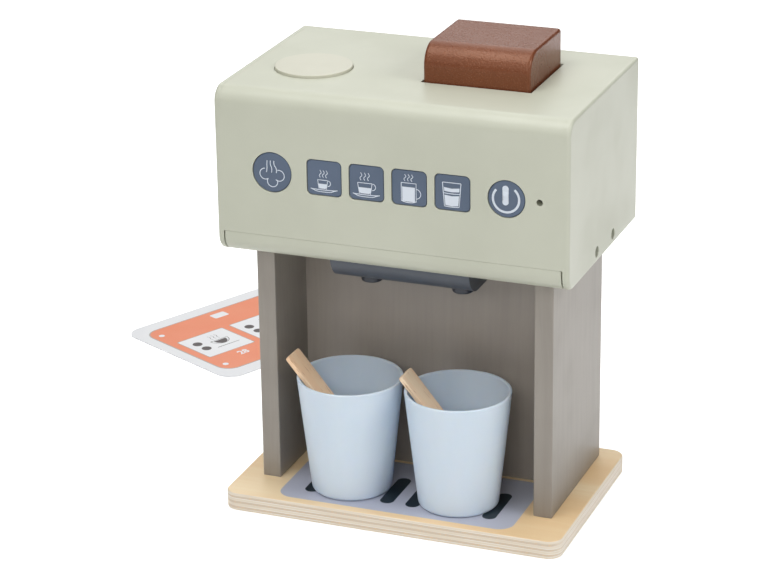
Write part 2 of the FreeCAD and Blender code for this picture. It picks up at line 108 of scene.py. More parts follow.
def linear(colour: Colour) -> tuple[float, float, float, float]:
    """Turn a written 0 to 255 colour into the linear one that shaders use.

    Args:
        colour: Red, green and blue.

    Returns:
        The linear colour, opaque.
    """
    parts = [value / 255 for value in colour]
    parts = [c / 12.92 if c <= 0.04045 else ((c + 0.055) / 1.055) ** 2.4 for c in parts]
    return (parts[0], parts[1], parts[2], 1.0)


class Sheet:
    """A node tree written one node at a time, from left to right."""

    def __init__(self, tree: bpy.types.NodeTree) -> None:
        """Start on an empty tree.

        Args:
            tree: The tree to write in.
        """
        self.tree = tree
        self.tree.nodes.clear()
        self.column = 0

    def add(self, kind: str, inputs: dict | None = None, **settings: object) -> bpy.types.Node:
        """Add a node.

        Args:
            kind: The node's type without its ShaderNode prefix, or with NodeGroup whole.
            inputs: Values or output sockets, by the input's name or number.
            settings: Properties of the node.

        Returns:
            The new node.
        """
        node = self.tree.nodes.new(kind if kind.startswith("NodeGroup") else "ShaderNode" + kind)
        node.location = (self.column * 190, 0)
        self.column += 1
        for name, value in settings.items():
            setattr(node, name, value)
        for name, value in (inputs or {}).items():
            self.feed(node.inputs[name], value)
        return node

    def feed(self, socket: bpy.types.NodeSocket, value: object) -> None:
        """Link an output socket to an input, or set the input's own value.

        Args:
            socket: The input.
            value: An output socket, or a plain value.
        """
        if isinstance(value, bpy.types.NodeSocket):
            self.tree.links.new(value, socket)
        else:
            socket.default_value = value

    def mix(
        self, factor: object, first: object, second: object, blend: str = "MIX"
    ) -> bpy.types.NodeSocket:
        """Mix two colours and return the colour.

        Args:
            factor: How much of the second colour shows, 0 to 1.
            first: One colour.
            second: The other colour.
            blend: The way of mixing.

        Returns:
            The mixed colour's socket.
        """
        node = self.tree.nodes.new("ShaderNodeMix")
        node.data_type = "RGBA"
        node.blend_type = blend
        node.location = (self.column * 190, 0)
        self.column += 1
        sockets = [s for s in node.inputs if s.type == "RGBA"]
        self.feed(node.inputs[0], factor)
        self.feed(sockets[0], first)
        self.feed(sockets[1], second)
        return next(s for s in node.outputs if s.type == "RGBA")

    def math(self, operation: str, *values: object, clamp: bool = False) -> bpy.types.NodeSocket:
        """Add one arithmetic step and return its value.

        Args:
            operation: The step's name.
            values: What it works on, in order.
            clamp: Whether the result is kept within 0 to 1.

        Returns:
            The result's socket.
        """
        node = self.add("Math", operation=operation, use_clamp=clamp)
        for index, value in enumerate(values):
            self.feed(node.inputs[index], value)
        return node.outputs[0]

    def remap(
        self, value: object, low: float, high: float, to_low: float = 0.0, to_high: float = 1.0
    ) -> bpy.types.NodeSocket:
        """Stretch a range of values onto another, smoothly, and return the result.

        Args:
            value: The socket of the value.
            low: The value that gives to_low.
            high: The value that gives to_high.
            to_low: One end of the new range.
            to_high: The other end.

        Returns:
            The result's socket.
        """
        node = self.add("MapRange", interpolation_type="SMOOTHSTEP")
        for name, number in (("Value", value), ("From Min", low), ("From Max", high)):
            self.feed(node.inputs[name], number)
        node.inputs["To Min"].default_value = to_low
        node.inputs["To Max"].default_value = to_high
        return node.outputs["Result"]

    def noise(
        self, vector: object, scale: object, detail: float = 3.0, roughness: float = 0.5
    ) -> bpy.types.NodeSocket:
        """Add a noise texture and return its value."""
        inputs = {"Vector": vector, "Scale": scale, "Detail": detail, "Roughness": roughness}
        return self.add("TexNoise", inputs).outputs["Fac"]

    def mapping(
        self, vector: object, turn: Sequence[float] = (0, 0, 0), scale: Sequence[float] = (1, 1, 1)
    ) -> bpy.types.NodeSocket:
        """Turn and stretch coordinates and return them."""
        return self.add("Mapping", {"Vector": vector, "Rotation": turn, "Scale": scale}).outputs[0]

    def bump(
        self, height: object, strength: float, distance: float, normal: object = None
    ) -> bpy.types.NodeSocket:
        """Turn a height into a normal and return it.

        Args:
            height: The socket of the height.
            strength: How strongly it shows, 0 to 1.
            distance: How high a height of 1 stands, in metres.
            normal: The normal that it is added to.

        Returns:
            The new normal's socket.
        """
        inputs = {"Height": height, "Strength": strength, "Distance": distance}
        if normal is not None:
            inputs["Normal"] = normal
        return self.add("Bump", inputs).outputs[0]

    def group(self, tree: bpy.types.NodeTree, **inputs: object) -> bpy.types.Node:
        """Place a shared effect and set its inputs, whose names' spaces are written as underscores.

        Args:
            tree: The effect's node tree.
            inputs: Its inputs.

        Returns:
            The new node.
        """
        node = self.add("Group", node_tree=tree)
        for name, value in inputs.items():
            self.feed(node.inputs[name.replace("_", " ")], value)
        return node


class Effects:
    """The shader node groups that several finishes share, each built once."""

    def __init__(self) -> None:
        """Build every shared effect."""
        self.wood = self.wood_figure()
        self.film = self.paint_film()
        # The mask for painted highlights along edges.
        self.edge = self.edge_highlight_mask()

    def start(
        self, name: str, inputs: dict, outputs: Iterable[str]
    ) -> tuple[Sheet, bpy.types.Node, bpy.types.Node]:
        """Open a new node group.

        Args:
            name: The group's name.
            inputs: Each input's socket type and default value, by name.
            outputs: The names of its value outputs.

        Returns:
            The sheet to write on, the group's input node and its output node.
        """
        tree = bpy.data.node_groups.new(name, "ShaderNodeTree")
        for label, (kind, default) in inputs.items():
            socket = tree.interface.new_socket(name=label, in_out="INPUT", socket_type=kind)
            if default is not None:
                socket.default_value = default
        for label in outputs:
            tree.interface.new_socket(name=label, in_out="OUTPUT", socket_type="NodeSocketFloat")
        sheet = Sheet(tree)
        return sheet, sheet.add("NodeGroupInput"), sheet.add("NodeGroupOutput")

    def wood_figure(self) -> bpy.types.NodeTree:
        """Grain that runs along X: a broad figure, fine fibres and short dark flecks.

        Returns:
            The node group, with Figure, Fibre and Flecks.
        """
        inputs = {
            "Vector": ("NodeSocketVector", None),
            "Fibre Scale": ("NodeSocketFloat", 90.0),
            "Figure Scale": ("NodeSocketFloat", 16.0),
        }
        sheet, given, result = self.start("wood_figure", inputs, ("Figure", "Fibre", "Flecks"))
        wander = sheet.add("TexNoise", {"Vector": given.outputs["Vector"], "Scale": 9.0, "Detail": 1.0})
        shift = sheet.add(
            "VectorMath", {0: wander.outputs["Color"], 1: (0.5, 0.5, 0.5)}, operation="SUBTRACT"
        )
        shift = sheet.add("VectorMath", {0: shift.outputs[0], "Scale": 0.012}, operation="SCALE")
        wavy = sheet.add(
            "VectorMath", {0: given.outputs["Vector"], 1: shift.outputs[0]}, operation="ADD"
        ).outputs[0]
        broad = sheet.mapping(wavy, scale=(0.35, 2.2, 2.2))
        figure = sheet.noise(broad, given.outputs["Figure Scale"], 4.0, 0.55)
        fine = sheet.mapping(wavy, scale=(0.07, 2.6, 2.6))
        fibre = sheet.noise(fine, given.outputs["Fibre Scale"], 6.0, 0.7)
        short = sheet.mapping(wavy, scale=(0.16, 1.6, 1.6))
        flecks = sheet.noise(short, 520.0, 2.0, 0.5)
        sheet.feed(result.inputs["Figure"], sheet.remap(figure, 0.32, 0.68))
        sheet.feed(result.inputs["Fibre"], sheet.remap(fibre, 0.3, 0.7))
        sheet.feed(result.inputs["Flecks"], sheet.remap(flecks, 0.62, 0.74))
        return sheet.tree

    def paint_film(self) -> bpy.types.NodeTree:
        """A sprayed coat: cloudy tone, the ripple of its skin and small raised specks.

        Returns:
            The node group, with Cloud, Ripple and Specks.
        """
        inputs = {"Vector": ("NodeSocketVector", None), "Scale": ("NodeSocketFloat", 500.0)}
        sheet, given, result = self.start("paint_film", inputs, ("Cloud", "Ripple", "Specks"))
        cloud = sheet.noise(given.outputs["Vector"], 14.0, 3.0, 0.55)
        ripple = sheet.noise(given.outputs["Vector"], given.outputs["Scale"], 2.0, 0.45)
        cell_inputs = {"Vector": given.outputs["Vector"], "Scale": given.outputs["Scale"]}
        cells = sheet.add("TexVoronoi", cell_inputs)
        sheet.feed(result.inputs["Cloud"], sheet.remap(cloud, 0.3, 0.7))
        sheet.feed(result.inputs["Ripple"], ripple)
        sheet.feed(result.inputs["Specks"], sheet.remap(cells.outputs["Distance"], 0.34, 0.12))
        return sheet.tree

    def edge_highlight_mask(self) -> bpy.types.NodeTree:
        """Where a surface turns over an edge, broken up a little by noise: the mask for a painted highlight
        along edges.

        Returns:
            The node group, with Mask.
        """
        inputs = {"Vector": ("NodeSocketVector", None), "Radius": ("NodeSocketFloat", 0.0008)}
        sheet, given, result = self.start("edge_highlight_mask", inputs, ("Mask",))
        soft = sheet.add("Bevel", {"Radius": given.outputs["Radius"]}, samples=6)
        plain = sheet.add("NewGeometry")
        alike = sheet.add(
            "VectorMath", {0: soft.outputs[0], 1: plain.outputs["Normal"]}, operation="DOT_PRODUCT"
        )
        turned = sheet.remap(alike.outputs["Value"], 0.995, 0.86)
        broken = sheet.remap(sheet.noise(given.outputs["Vector"], 240.0, 3.0, 0.6), 0.3, 0.6, 0.35, 1.0)
        sheet.feed(result.inputs["Mask"], sheet.math("MULTIPLY", turned, broken, clamp=True))
        return sheet.tree


effects = Effects()


class Finish:
    """Shared steps of every finish: one material per finish, made when it is first asked for."""

    name: str
    made: ClassVar[dict[str, bpy.types.Material]] = {}

    def material(self) -> bpy.types.Material:
        """Give the finish's material, building it the first time.

        Returns:
            The material.
        """
        if self.name not in Finish.made:
            material = bpy.data.materials.new(self.name)
            material.use_nodes = True
            sheet = Sheet(material.node_tree)
            place = sheet.add("TexCoord").outputs["Object"]
            shader = self.draw(sheet, place)
            output = sheet.add("OutputMaterial")
            sheet.feed(output.inputs["Surface"], shader.outputs[0])
            Finish.made[self.name] = material
        return Finish.made[self.name]

    def draw(self, sheet: Sheet, place: bpy.types.NodeSocket) -> bpy.types.Node:
        """Write the finish's nodes and return its shader."""
        raise NotImplementedError


@dataclass(frozen=True)
class Paint(Finish):
    """A sprayed coat of paint on wood, through which some grain shows."""

    name: str
    colour: Colour
    cloud: Colour
    roughness: float = 0.45
    ripple: float = 0.12
    ripple_scale: float = 420.0
    specks: float = 0.0
    grain: float = 0.0
    grain_shade: float = 0.8
    grain_way: Grain = Grain.ALONG_X
    # A lighter colour along edges, with its width and strength: a painted highlight.
    edge: Colour | None = None
    edge_highlight_radius: float = 0.8 * MM
    edge_highlight_strength: float = 0.5
    gloss: float = 0.5
    gloss_tint: Colour = (255, 255, 255)

    def draw(self, sheet: Sheet, place: bpy.types.NodeSocket) -> bpy.types.Node:
        """Write the coat: cloudy colour, grain, a painted highlight along edges, specks and skin.

        Args:
            sheet: The sheet to write on.
            place: Where the shaded point is on the object.

        Returns:
            The surface shader.
        """
        film = sheet.group(effects.film, Vector=place, Scale=self.ripple_scale)
        wood = sheet.group(effects.wood, Vector=sheet.mapping(place, self.grain_way.value))
        tone = sheet.mix(film.outputs["Cloud"], linear(self.colour), linear(self.cloud))
        if self.grain:
            streak = sheet.math("MULTIPLY", wood.outputs["Fibre"], self.grain)
            tone = sheet.mix(streak, tone, linear(tuple(int(c * self.grain_shade) for c in self.colour)))
        # Specks take the lighter edge colour where there is one: painted glints on the raised specks.
        if self.specks:
            dots = sheet.math("MULTIPLY", film.outputs["Specks"], self.specks * 0.5)
            tone = sheet.mix(dots, tone, linear(self.edge or self.cloud))
        # A lighter colour where the surface turns over an edge: painted highlight.
        if self.edge:
            mask = sheet.group(effects.edge, Vector=place, Radius=self.edge_highlight_radius).outputs["Mask"]
            tone = sheet.mix(sheet.math("MULTIPLY", mask, self.edge_highlight_strength), tone, linear(self.edge))
        rough = sheet.remap(film.outputs["Cloud"], 0.0, 1.0, self.roughness - 0.05, self.roughness + 0.05)
        skin = sheet.bump(film.outputs["Ripple"], self.ripple, 0.25 * MM)
        if self.specks:
            skin = sheet.bump(film.outputs["Specks"], self.specks, 0.12 * MM, skin)
        if self.grain:
            skin = sheet.bump(wood.outputs["Fibre"], self.grain * 0.5, 0.08 * MM, skin)
        surface = {"Base Color": tone, "Roughness": rough, "Normal": skin}
        surface["Specular IOR Level"] = self.gloss
        surface["Specular Tint"] = linear(self.gloss_tint)
        return sheet.add("BsdfPrincipled", surface)


@dataclass(frozen=True)
class BareWood(Finish):
    """Smooth bare wood, with figure, fibres and flecks."""

    name: str
    pale: Colour
    deep: Colour
    fleck: Colour
    grain_way: Grain = Grain.ALONG_X
    lean: float = 0.0
    fleck_strength: float = 0.5
    roughness: float = 0.55
    # A paler colour along edges: a painted highlight.
    edge: Colour | None = None

    def draw(self, sheet: Sheet, place: bpy.types.NodeSocket) -> bpy.types.Node:
        """Write the wood's colour, flecks, a painted highlight along edges and low fibre relief.

        Args:
            sheet: The sheet to write on.
            place: Where the shaded point is on the object.

        Returns:
            The surface shader.
        """
        along = sheet.mapping(sheet.mapping(place, (0.0, self.lean, 0.0)), self.grain_way.value)
        wood = sheet.group(effects.wood, Vector=along, Fibre_Scale=140.0, Figure_Scale=26.0)
        tone = sheet.mix(wood.outputs["Figure"], linear(self.pale), linear(self.deep))
        streak = sheet.math("MULTIPLY", wood.outputs["Fibre"], 0.35)
        tone = sheet.mix(streak, tone, linear(self.deep))
        dark = sheet.math("MULTIPLY", wood.outputs["Flecks"], self.fleck_strength)
        tone = sheet.mix(dark, tone, linear(self.fleck))
        # A paler colour where the surface turns over an edge: painted highlight.
        if self.edge:
            mask = sheet.group(effects.edge, Vector=place, Radius=0.7 * MM).outputs["Mask"]
            tone = sheet.mix(sheet.math("MULTIPLY", mask, 0.6), tone, linear(self.edge))
        rough = sheet.remap(wood.outputs["Fibre"], 0.0, 1.0, self.roughness - 0.06, self.roughness + 0.08)
        skin = sheet.bump(wood.outputs["Fibre"], 0.25, 0.1 * MM)
        return sheet.add("BsdfPrincipled", {"Base Color": tone, "Roughness": rough, "Normal": skin})


@dataclass(frozen=True)
class Plywood(Finish):
    """Lacquered plywood: a veneer on its faces, and the plies along its sawn edges."""

    name: str
    thickness: float
    plies: int
    veneer: Colour
    veneer_deep: Colour
    long_ply: Colour
    cross_ply: Colour
    glue_line: Colour

    def draw(self, sheet: Sheet, place: bpy.types.NodeSocket) -> bpy.types.Node:
        """Write the veneer and the plies, chosen by which way the surface faces.

        Args:
            sheet: The sheet to write on.
            place: Where the shaded point is on the object.

        Returns:
            The surface shader.
        """
        wood = sheet.group(effects.wood, Vector=place, Fibre_Scale=110.0, Figure_Scale=13.0)
        face = sheet.mix(wood.outputs["Figure"], linear(self.veneer), linear(self.veneer_deep))
        streak = sheet.math("MULTIPLY", wood.outputs["Fibre"], 0.22)
        face = sheet.mix(streak, face, linear(self.veneer_deep))
        edge = self.plies_colour(sheet, place)
        facing = sheet.add("SeparateXYZ", {0: sheet.add("TexCoord").outputs["Normal"]}).outputs["Z"]
        flat = sheet.remap(sheet.math("ABSOLUTE", facing), 0.7, 0.86)
        tone = sheet.mix(flat, edge, face)
        rough = sheet.remap(wood.outputs["Fibre"], 0.0, 1.0, 0.38, 0.5)
        skin = sheet.bump(wood.outputs["Fibre"], 0.12, 0.08 * MM)
        return sheet.add("BsdfPrincipled", {"Base Color": tone, "Roughness": rough, "Normal": skin})

    def plies_colour(self, sheet: Sheet, place: bpy.types.NodeSocket) -> bpy.types.NodeSocket:
        """Colour the sawn edge by its height: long and cross plies by turns, with pale lines between.

        Args:
            sheet: The sheet to write on.
            place: Where the shaded point is on the object.

        Returns:
            The colour's socket.
        """
        height = sheet.add("SeparateXYZ", {0: place}).outputs["Z"]
        wobble = sheet.noise(sheet.mapping(place, scale=(1.0, 1.0, 0.2)), 40.0, 3.0)
        wobble = sheet.math("MULTIPLY_ADD", wobble, 0.35 * MM, -0.17 * MM)
        count = sheet.math("DIVIDE", sheet.math("ADD", height, wobble), self.thickness / self.plies)
        cross = sheet.math("GREATER_THAN", sheet.math("MODULO", count, 2.0), 1.0)
        facing = sheet.add("SeparateXYZ", {0: sheet.add("TexCoord").outputs["Normal"]}).outputs["X"]
        sideways = sheet.remap(sheet.math("ABSOLUTE", facing), 0.5, 0.9)
        cross = sheet.math("MULTIPLY", cross, sheet.math("MULTIPLY_ADD", sideways, -0.6, 1.0))
        within = sheet.math("FRACT", count)
        line = sheet.remap(sheet.math("ABSOLUTE", sheet.math("SUBTRACT", within, 0.5)), 0.34, 0.46)
        clear = sheet.noise(sheet.mapping(place, scale=(1.0, 1.0, 18.0)), 24.0, 2.0)
        line = sheet.math("MULTIPLY", line, sheet.remap(clear, 0.38, 0.6, 0.15, 0.9))
        pores = sheet.noise(sheet.mapping(place, scale=(1.0, 1.0, 0.6)), 900.0, 3.0, 0.7)
        end_grain = sheet.mix(
            sheet.remap(pores, 0.45, 0.7, 0.0, 0.6), linear(self.cross_ply), linear(self.veneer_deep)
        )
        streaks = sheet.noise(sheet.mapping(place, scale=(0.12, 0.12, 6.0)), 260.0, 4.0, 0.7)
        long_grain = sheet.mix(
            sheet.remap(streaks, 0.35, 0.7, 0.0, 0.45), linear(self.long_ply), linear(self.cross_ply)
        )
        tone = sheet.mix(cross, long_grain, end_grain)
        return sheet.mix(line, tone, linear(self.glue_line))


@dataclass(frozen=True)
class Plastic(Finish):
    """Matte moulded plastic with faint flow marks and a fine texture."""

    name: str
    colour: Colour
    shade: Colour
    roughness: float = 0.5

    def draw(self, sheet: Sheet, place: bpy.types.NodeSocket) -> bpy.types.Node:
        """Write the plastic's tone, gloss and fine texture.

        Args:
            sheet: The sheet to write on.
            place: Where the shaded point is on the object.

        Returns:
            The surface shader.
        """
        film = sheet.group(effects.film, Vector=place, Scale=2400.0)
        flow = sheet.noise(sheet.mapping(place, scale=(1.0, 1.0, 0.25)), 45.0, 3.0, 0.6)
        tone = sheet.mix(sheet.remap(flow, 0.3, 0.72), linear(self.colour), linear(self.shade))
        rough = sheet.remap(film.outputs["Cloud"], 0.0, 1.0, self.roughness - 0.05, self.roughness + 0.04)
        skin = sheet.bump(film.outputs["Ripple"], 0.06, 0.1 * MM)
        inputs = {"Base Color": tone, "Roughness": rough, "Normal": skin, "Subsurface Weight": 0.3}
        inputs["Subsurface Radius"] = (2.5 * MM, 3.5 * MM, 5 * MM)
        inputs["Subsurface Scale"] = 1.0
        return sheet.add("BsdfPrincipled", inputs)


@dataclass(frozen=True)
class Print(Finish):
    """Printed ink or coated card, a little uneven where the ink lies thinner."""

    name: str
    ink: Colour
    thin_ink: Colour
    roughness: float = 0.4

    def draw(self, sheet: Sheet, place: bpy.types.NodeSocket) -> bpy.types.Node:
        """Write the ink's tone and the tooth of what it is printed on.

        Args:
            sheet: The sheet to write on.
            place: Where the shaded point is on the object.

        Returns:
            The surface shader.
        """
        film = sheet.group(effects.film, Vector=place, Scale=1500.0)
        thin = sheet.math("MULTIPLY", film.outputs["Specks"], 0.35)
        tone = sheet.mix(film.outputs["Cloud"], linear(self.ink), linear(self.thin_ink))
        tone = sheet.mix(thin, tone, linear(self.thin_ink))
        rough = sheet.remap(film.outputs["Ripple"], 0.3, 0.7, self.roughness - 0.04, self.roughness + 0.06)
        skin = sheet.bump(film.outputs["Ripple"], 0.05, 0.08 * MM)
        return sheet.add("BsdfPrincipled", {"Base Color": tone, "Roughness": rough, "Normal": skin})


@dataclass(frozen=True)
class Steel(Finish):
    """Zinc-plated steel with fine drawn lines."""

    name: str
    colour: Colour
    shade: Colour
    roughness: float = 0.34

    def draw(self, sheet: Sheet, place: bpy.types.NodeSocket) -> bpy.types.Node:
        """Write the plating's tone, its streaks and its gloss.

        Args:
            sheet: The sheet to write on.
            place: Where the shaded point is on the object.

        Returns:
            The surface shader.
        """
        streaks = sheet.noise(sheet.mapping(place, scale=(1.0, 1.0, 9.0)), 900.0, 3.0, 0.6)
        cloud = sheet.group(effects.film, Vector=place, Scale=800.0).outputs["Cloud"]
        tone = sheet.mix(cloud, linear(self.colour), linear(self.shade))
        rough = sheet.remap(streaks, 0.3, 0.7, self.roughness - 0.08, self.roughness + 0.12)
        skin = sheet.bump(streaks, 0.15, 0.03 * MM)
        inputs = {"Base Color": tone, "Roughness": rough, "Normal": skin, "Metallic": 1.0}
        return sheet.add("BsdfPrincipled", inputs)


@dataclass(frozen=True)
class Foam(Finish):
    """Open foam with small cells, their pits darkened with painted shade."""

    name: str
    colour: Colour
    pit_shade: Colour

    def draw(self, sheet: Sheet, place: bpy.types.NodeSocket) -> bpy.types.Node:
        """Write the foam's cells.

        Args:
            sheet: The sheet to write on.
            place: Where the shaded point is on the object.

        Returns:
            The surface shader.
        """
        cells = sheet.add("TexVoronoi", {"Vector": place, "Scale": 1600.0}).outputs["Distance"]
        # Darker pits: painted shade in the cells.
        pit_shade_mask = sheet.remap(cells, 0.5, 0.15)
        tone = sheet.mix(pit_shade_mask, linear(self.colour), linear(self.pit_shade))
        skin = sheet.bump(cells, 0.7, 0.3 * MM)
        return sheet.add("BsdfPrincipled", {"Base Color": tone, "Roughness": 0.95, "Normal": skin})


class Palette:
    """Every finish of the toy, by what it is on."""

    sage = Paint("sage_paint_satin", (196, 198, 181), (191, 193, 176), roughness=0.36)
    cream = Paint("cream_paint_satin", (202, 201, 184), (198, 197, 180), roughness=0.36)
    # Dark walls inside holes and gaps: painted shade.
    painted_shade_hole_wall = Paint("hole_wall_painted_shade", (44, 42, 38), (34, 33, 30), roughness=0.7, ripple=0.3)
    # The legs' lighter edge colour is a painted highlight.
    taupe = Paint(
        "taupe_paint_satin", (156, 149, 140), (150, 143, 134), roughness=0.42, ripple=0.15,
        grain=0.25, grain_way=Grain.ALONG_Z, edge=(176, 169, 160), edge_highlight_strength=0.35,
    )
    # A lighter copy of the legs' taupe for the back panel: painted light in the shaded bay.
    taupe_panel_painted_light = Paint(
        "taupe_paint_panel_painted_light", (170, 161, 151), (162, 153, 144), roughness=0.34, ripple=0.22,
        ripple_scale=260.0, grain=0.2, grain_way=Grain.ALONG_Z,
    )
    # The lighter edge colour, also on the specks, is a painted highlight.
    brown = Paint(
        "brown_paint_open_grain", (114, 62, 37), (104, 55, 32), roughness=0.27, ripple=0.8,
        ripple_scale=900.0, specks=0.5, edge=(172, 116, 88), edge_highlight_strength=0.4,
        gloss=0.7, gloss_tint=(255, 212, 186),
    )
    # The lighter edge colour is a painted highlight.
    blue = Paint(
        "button_paint_blue", (84, 99, 121), (79, 93, 113), roughness=0.45, ripple=0.16,
        edge=(128, 136, 156), edge_highlight_radius=0.5 * MM, edge_highlight_strength=0.5,
    )
    slate = Paint(
        "slate_paint_satin", (72, 79, 89), (67, 73, 83), roughness=0.38, ripple=0.2, ripple_scale=300.0,
    )
    dark = Paint("nozzle_paint_dark", (44, 50, 62), (38, 43, 54), roughness=0.35, ripple=0.15)
    plywood = Plywood(
        "birch_plywood_lacquered", 12 * MM, 7, (246, 224, 186), (236, 202, 154),
        (236, 224, 206), (216, 199, 176), (252, 249, 243),
    )
    # The paler edge colour is a painted highlight.
    stirrer = BareWood(
        "beech_stirrer", (255, 233, 203), (251, 210, 170), (176, 116, 76), Grain.ALONG_Z,
        lean=STIRRER_LEAN, fleck_strength=0.75, edge=(255, 240, 218),
    )
    beech = BareWood("beech_plain", (222, 188, 150), (204, 162, 118), (160, 112, 74), Grain.ALONG_Z)
    raw_board = BareWood("raw_board", (206, 180, 142), (188, 158, 118), (146, 112, 78), Grain.ALONG_X)
    cup = Plastic("cup_plastic_blue", (217, 230, 245), (213, 227, 243))
    tray = Print("tray_film", (178, 181, 196), (184, 187, 200), 0.42)
    slot_mark = Print("tray_slot_ink", (24, 38, 48), (30, 44, 54), 0.38)
    icon = Print("button_icon_ink", (220, 227, 236), (212, 220, 230), 0.45)
    card = Print("card_stock_white", (240, 241, 243), (236, 238, 241), 0.35)
    card_rule = Print("card_ink_grey", (176, 176, 172), (186, 186, 182), 0.35)
    card_field = Print("card_ink_orange", (242, 146, 110), (244, 155, 121), 0.35)
    card_white = Print("card_ink_panel", (243, 244, 246), (238, 240, 243), 0.35)
    card_dark = Print("card_ink_dark", (88, 82, 82), (98, 92, 92), 0.35)
    steel = Steel("screw_zinc", (176, 174, 168), (150, 148, 142))
    # Darker steel for the sunk side screws: painted shade in their holes.
    shaded_sunk_steel = Steel("screw_sunk_painted_shade", (96, 92, 86), (70, 68, 64), 0.42)
    spring = Steel("spring_wire", (150, 150, 152), (120, 120, 124), 0.28)
    foam = Foam("button_foam", (70, 70, 74), (34, 34, 38))


def board(low: Vector, high: Vector) -> bmesh.types.BMesh:
    """Make a square-edged board between two corners.

    Args:
        low: The corner with the least X, Y and Z.
        high: The corner with the most.

    Returns:
        The board.
    """
    shape = bmesh.new()
    bmesh.ops.create_cube(shape, size=1.0)
    bmesh.ops.scale(shape, vec=high - low, verts=shape.verts)
    bmesh.ops.translate(shape, vec=(low + high) / 2, verts=shape.verts)
    return shape


def edges_along(shape: bmesh.types.BMesh, axis: int, near: dict[int, float] | None = None) -> list:
    """Find straight edges.

    Args:
        shape: The mesh to look in.
        axis: The axis that the edges run along, 0 to 2.
        near: Where their middles have to be, by axis.

    Returns:
        The edges found.
    """
    found = []
    for edge in shape.edges:
        run = (edge.verts[1].co - edge.verts[0].co).normalized()
        middle = (edge.verts[0].co + edge.verts[1].co) / 2
        there = all(abs(middle[other] - place) < SAME_PLACE for other, place in (near or {}).items())
        if abs(run[axis]) > 0.999 and there:
            found.append(edge)
    return found


def edges_in_plane(shape: bmesh.types.BMesh, axis: int, place: float) -> list:
    """Find the edges on the rim of a flat side, the ones where it turns a corner.

    Args:
        shape: The mesh to look in.
        axis: The axis that the side is square to.
        place: Where the side is on that axis.

    Returns:
        The edges found.
    """
    return [
        edge
        for edge in shape.edges
        if all(abs(vert.co[axis] - place) < SAME_PLACE for vert in edge.verts)
        and len(edge.link_faces) == 2
        and edge.calc_face_angle(0.0) > math.radians(20)
    ]


def round_over(shape: bmesh.types.BMesh, edges: Iterable, radius: float, segments: int = 4) -> None:
    """Round edges over to a radius.

    Args:
        shape: The mesh.
        edges: Those of its edges to round.
        radius: The radius.
        segments: How many flat strips stand for the round.
    """
    bmesh.ops.bevel(
        shape, geom=list(edges), offset=radius, offset_type="OFFSET", segments=segments,
        profile=0.5, affect="EDGES", material=-1, clamp_overlap=True,
    )


def round_outline(radius: float, steps: int = 64) -> bmesh.types.BMesh:
    """Make a flat round face on the XY plane.

    Args:
        radius: The circle's radius.
        steps: How many sides stand for it.

    Returns:
        The flat face.
    """
    shape = bmesh.new()
    bmesh.ops.create_circle(shape, cap_ends=True, segments=steps, radius=radius)
    return shape


def square_outline(half: float, corner: float, steps: int = 8) -> bmesh.types.BMesh:
    """Make a flat square face with round corners on the XY plane."""
    return plate_outline(half, half, corner, steps)


def plate_outline(half_x: float, half_y: float, corner: float, steps: int = 8) -> bmesh.types.BMesh:
    """Make a flat four-sided face with round corners on the XY plane.

    Args:
        half_x: Half its width.
        half_y: Half its length.
        corner: Its corners' radius.
        steps: How many sides stand for a corner.

    Returns:
        The flat face.
    """
    shape = bmesh.new()
    bmesh.ops.create_grid(shape, x_segments=1, y_segments=1, size=1.0)
    bmesh.ops.scale(shape, vec=(half_x, half_y, 1.0), verts=shape.verts)
    if corner:
        bmesh.ops.bevel(
            shape, geom=list(shape.verts), offset=corner, offset_type="OFFSET", segments=steps,
            profile=0.5, affect="VERTICES", material=-1, clamp_overlap=True,
        )
    return shape


def stack(outline: bmesh.types.BMesh, half: Point, slices: Sequence[Point]) -> bmesh.types.BMesh:
    """Grow a flat outline into a solid, slice by slice.

    Args:
        outline: The flat face to start from, centred on the Z axis.
        half: The outline's half width and half length.
        slices: For each slice its height, and how much wider than the outline it is.

    Returns:
        The same mesh, now a closed solid.
    """
    base_height, base_growth = slices[0]
    bmesh.ops.translate(outline, vec=(0, 0, base_height), verts=outline.verts)
    grow(outline, outline.verts[:], half, 0.0, base_growth)
    height, growth = base_height, base_growth
    top = outline.faces[:]
    for next_height, next_growth in slices[1:]:
        region = top + [edge for face in top for edge in face.edges]
        pushed = bmesh.ops.extrude_face_region(outline, geom=region)
        verts = [item for item in pushed["geom"] if isinstance(item, bmesh.types.BMVert)]
        top = [item for item in pushed["geom"] if isinstance(item, bmesh.types.BMFace)]
        bmesh.ops.translate(outline, vec=(0, 0, next_height - height), verts=verts)
        grow(outline, verts, half, growth, next_growth)
        height, growth = next_height, next_growth
    bmesh.ops.recalc_face_normals(outline, faces=outline.faces)
    return outline


def grow(shape: bmesh.types.BMesh, verts: list, half: Point, now: float, wanted: float) -> None:
    """Widen a slice about the Z axis from one growth to another."""
    factors = ((half[0] + wanted) / (half[0] + now), (half[1] + wanted) / (half[1] + now), 1.0)
    bmesh.ops.scale(shape, vec=factors, verts=verts)


def round_shoulder(top: float, radius: float, steps: int = 4) -> list[Point]:
    """Slices that turn an upright side into a flat top, over a quarter circle."""
    angles = [math.pi / 2 * step / steps for step in range(steps + 1)]
    return [(top - radius + radius * math.sin(a), radius * (math.cos(a) - 1)) for a in angles]


def flared_mouth(surface: float, radius: float, overrun: float, steps: int = 3) -> list[Point]:
    """Slices of a cutter that leave a hole with a softened mouth at a surface.

    Args:
        surface: The surface's height.
        radius: The mouth's radius.
        overrun: How far the cutter stands out.
        steps: How many slices stand for the round.

    Returns:
        The height and growth of each slice.
    """
    angles = [math.pi / 2 * step / steps for step in range(steps + 1)]
    soft = [(surface - 0.98 * radius + radius * math.sin(a), radius * (1 - math.cos(a))) for a in angles]
    return soft + [(surface + overrun, radius)]


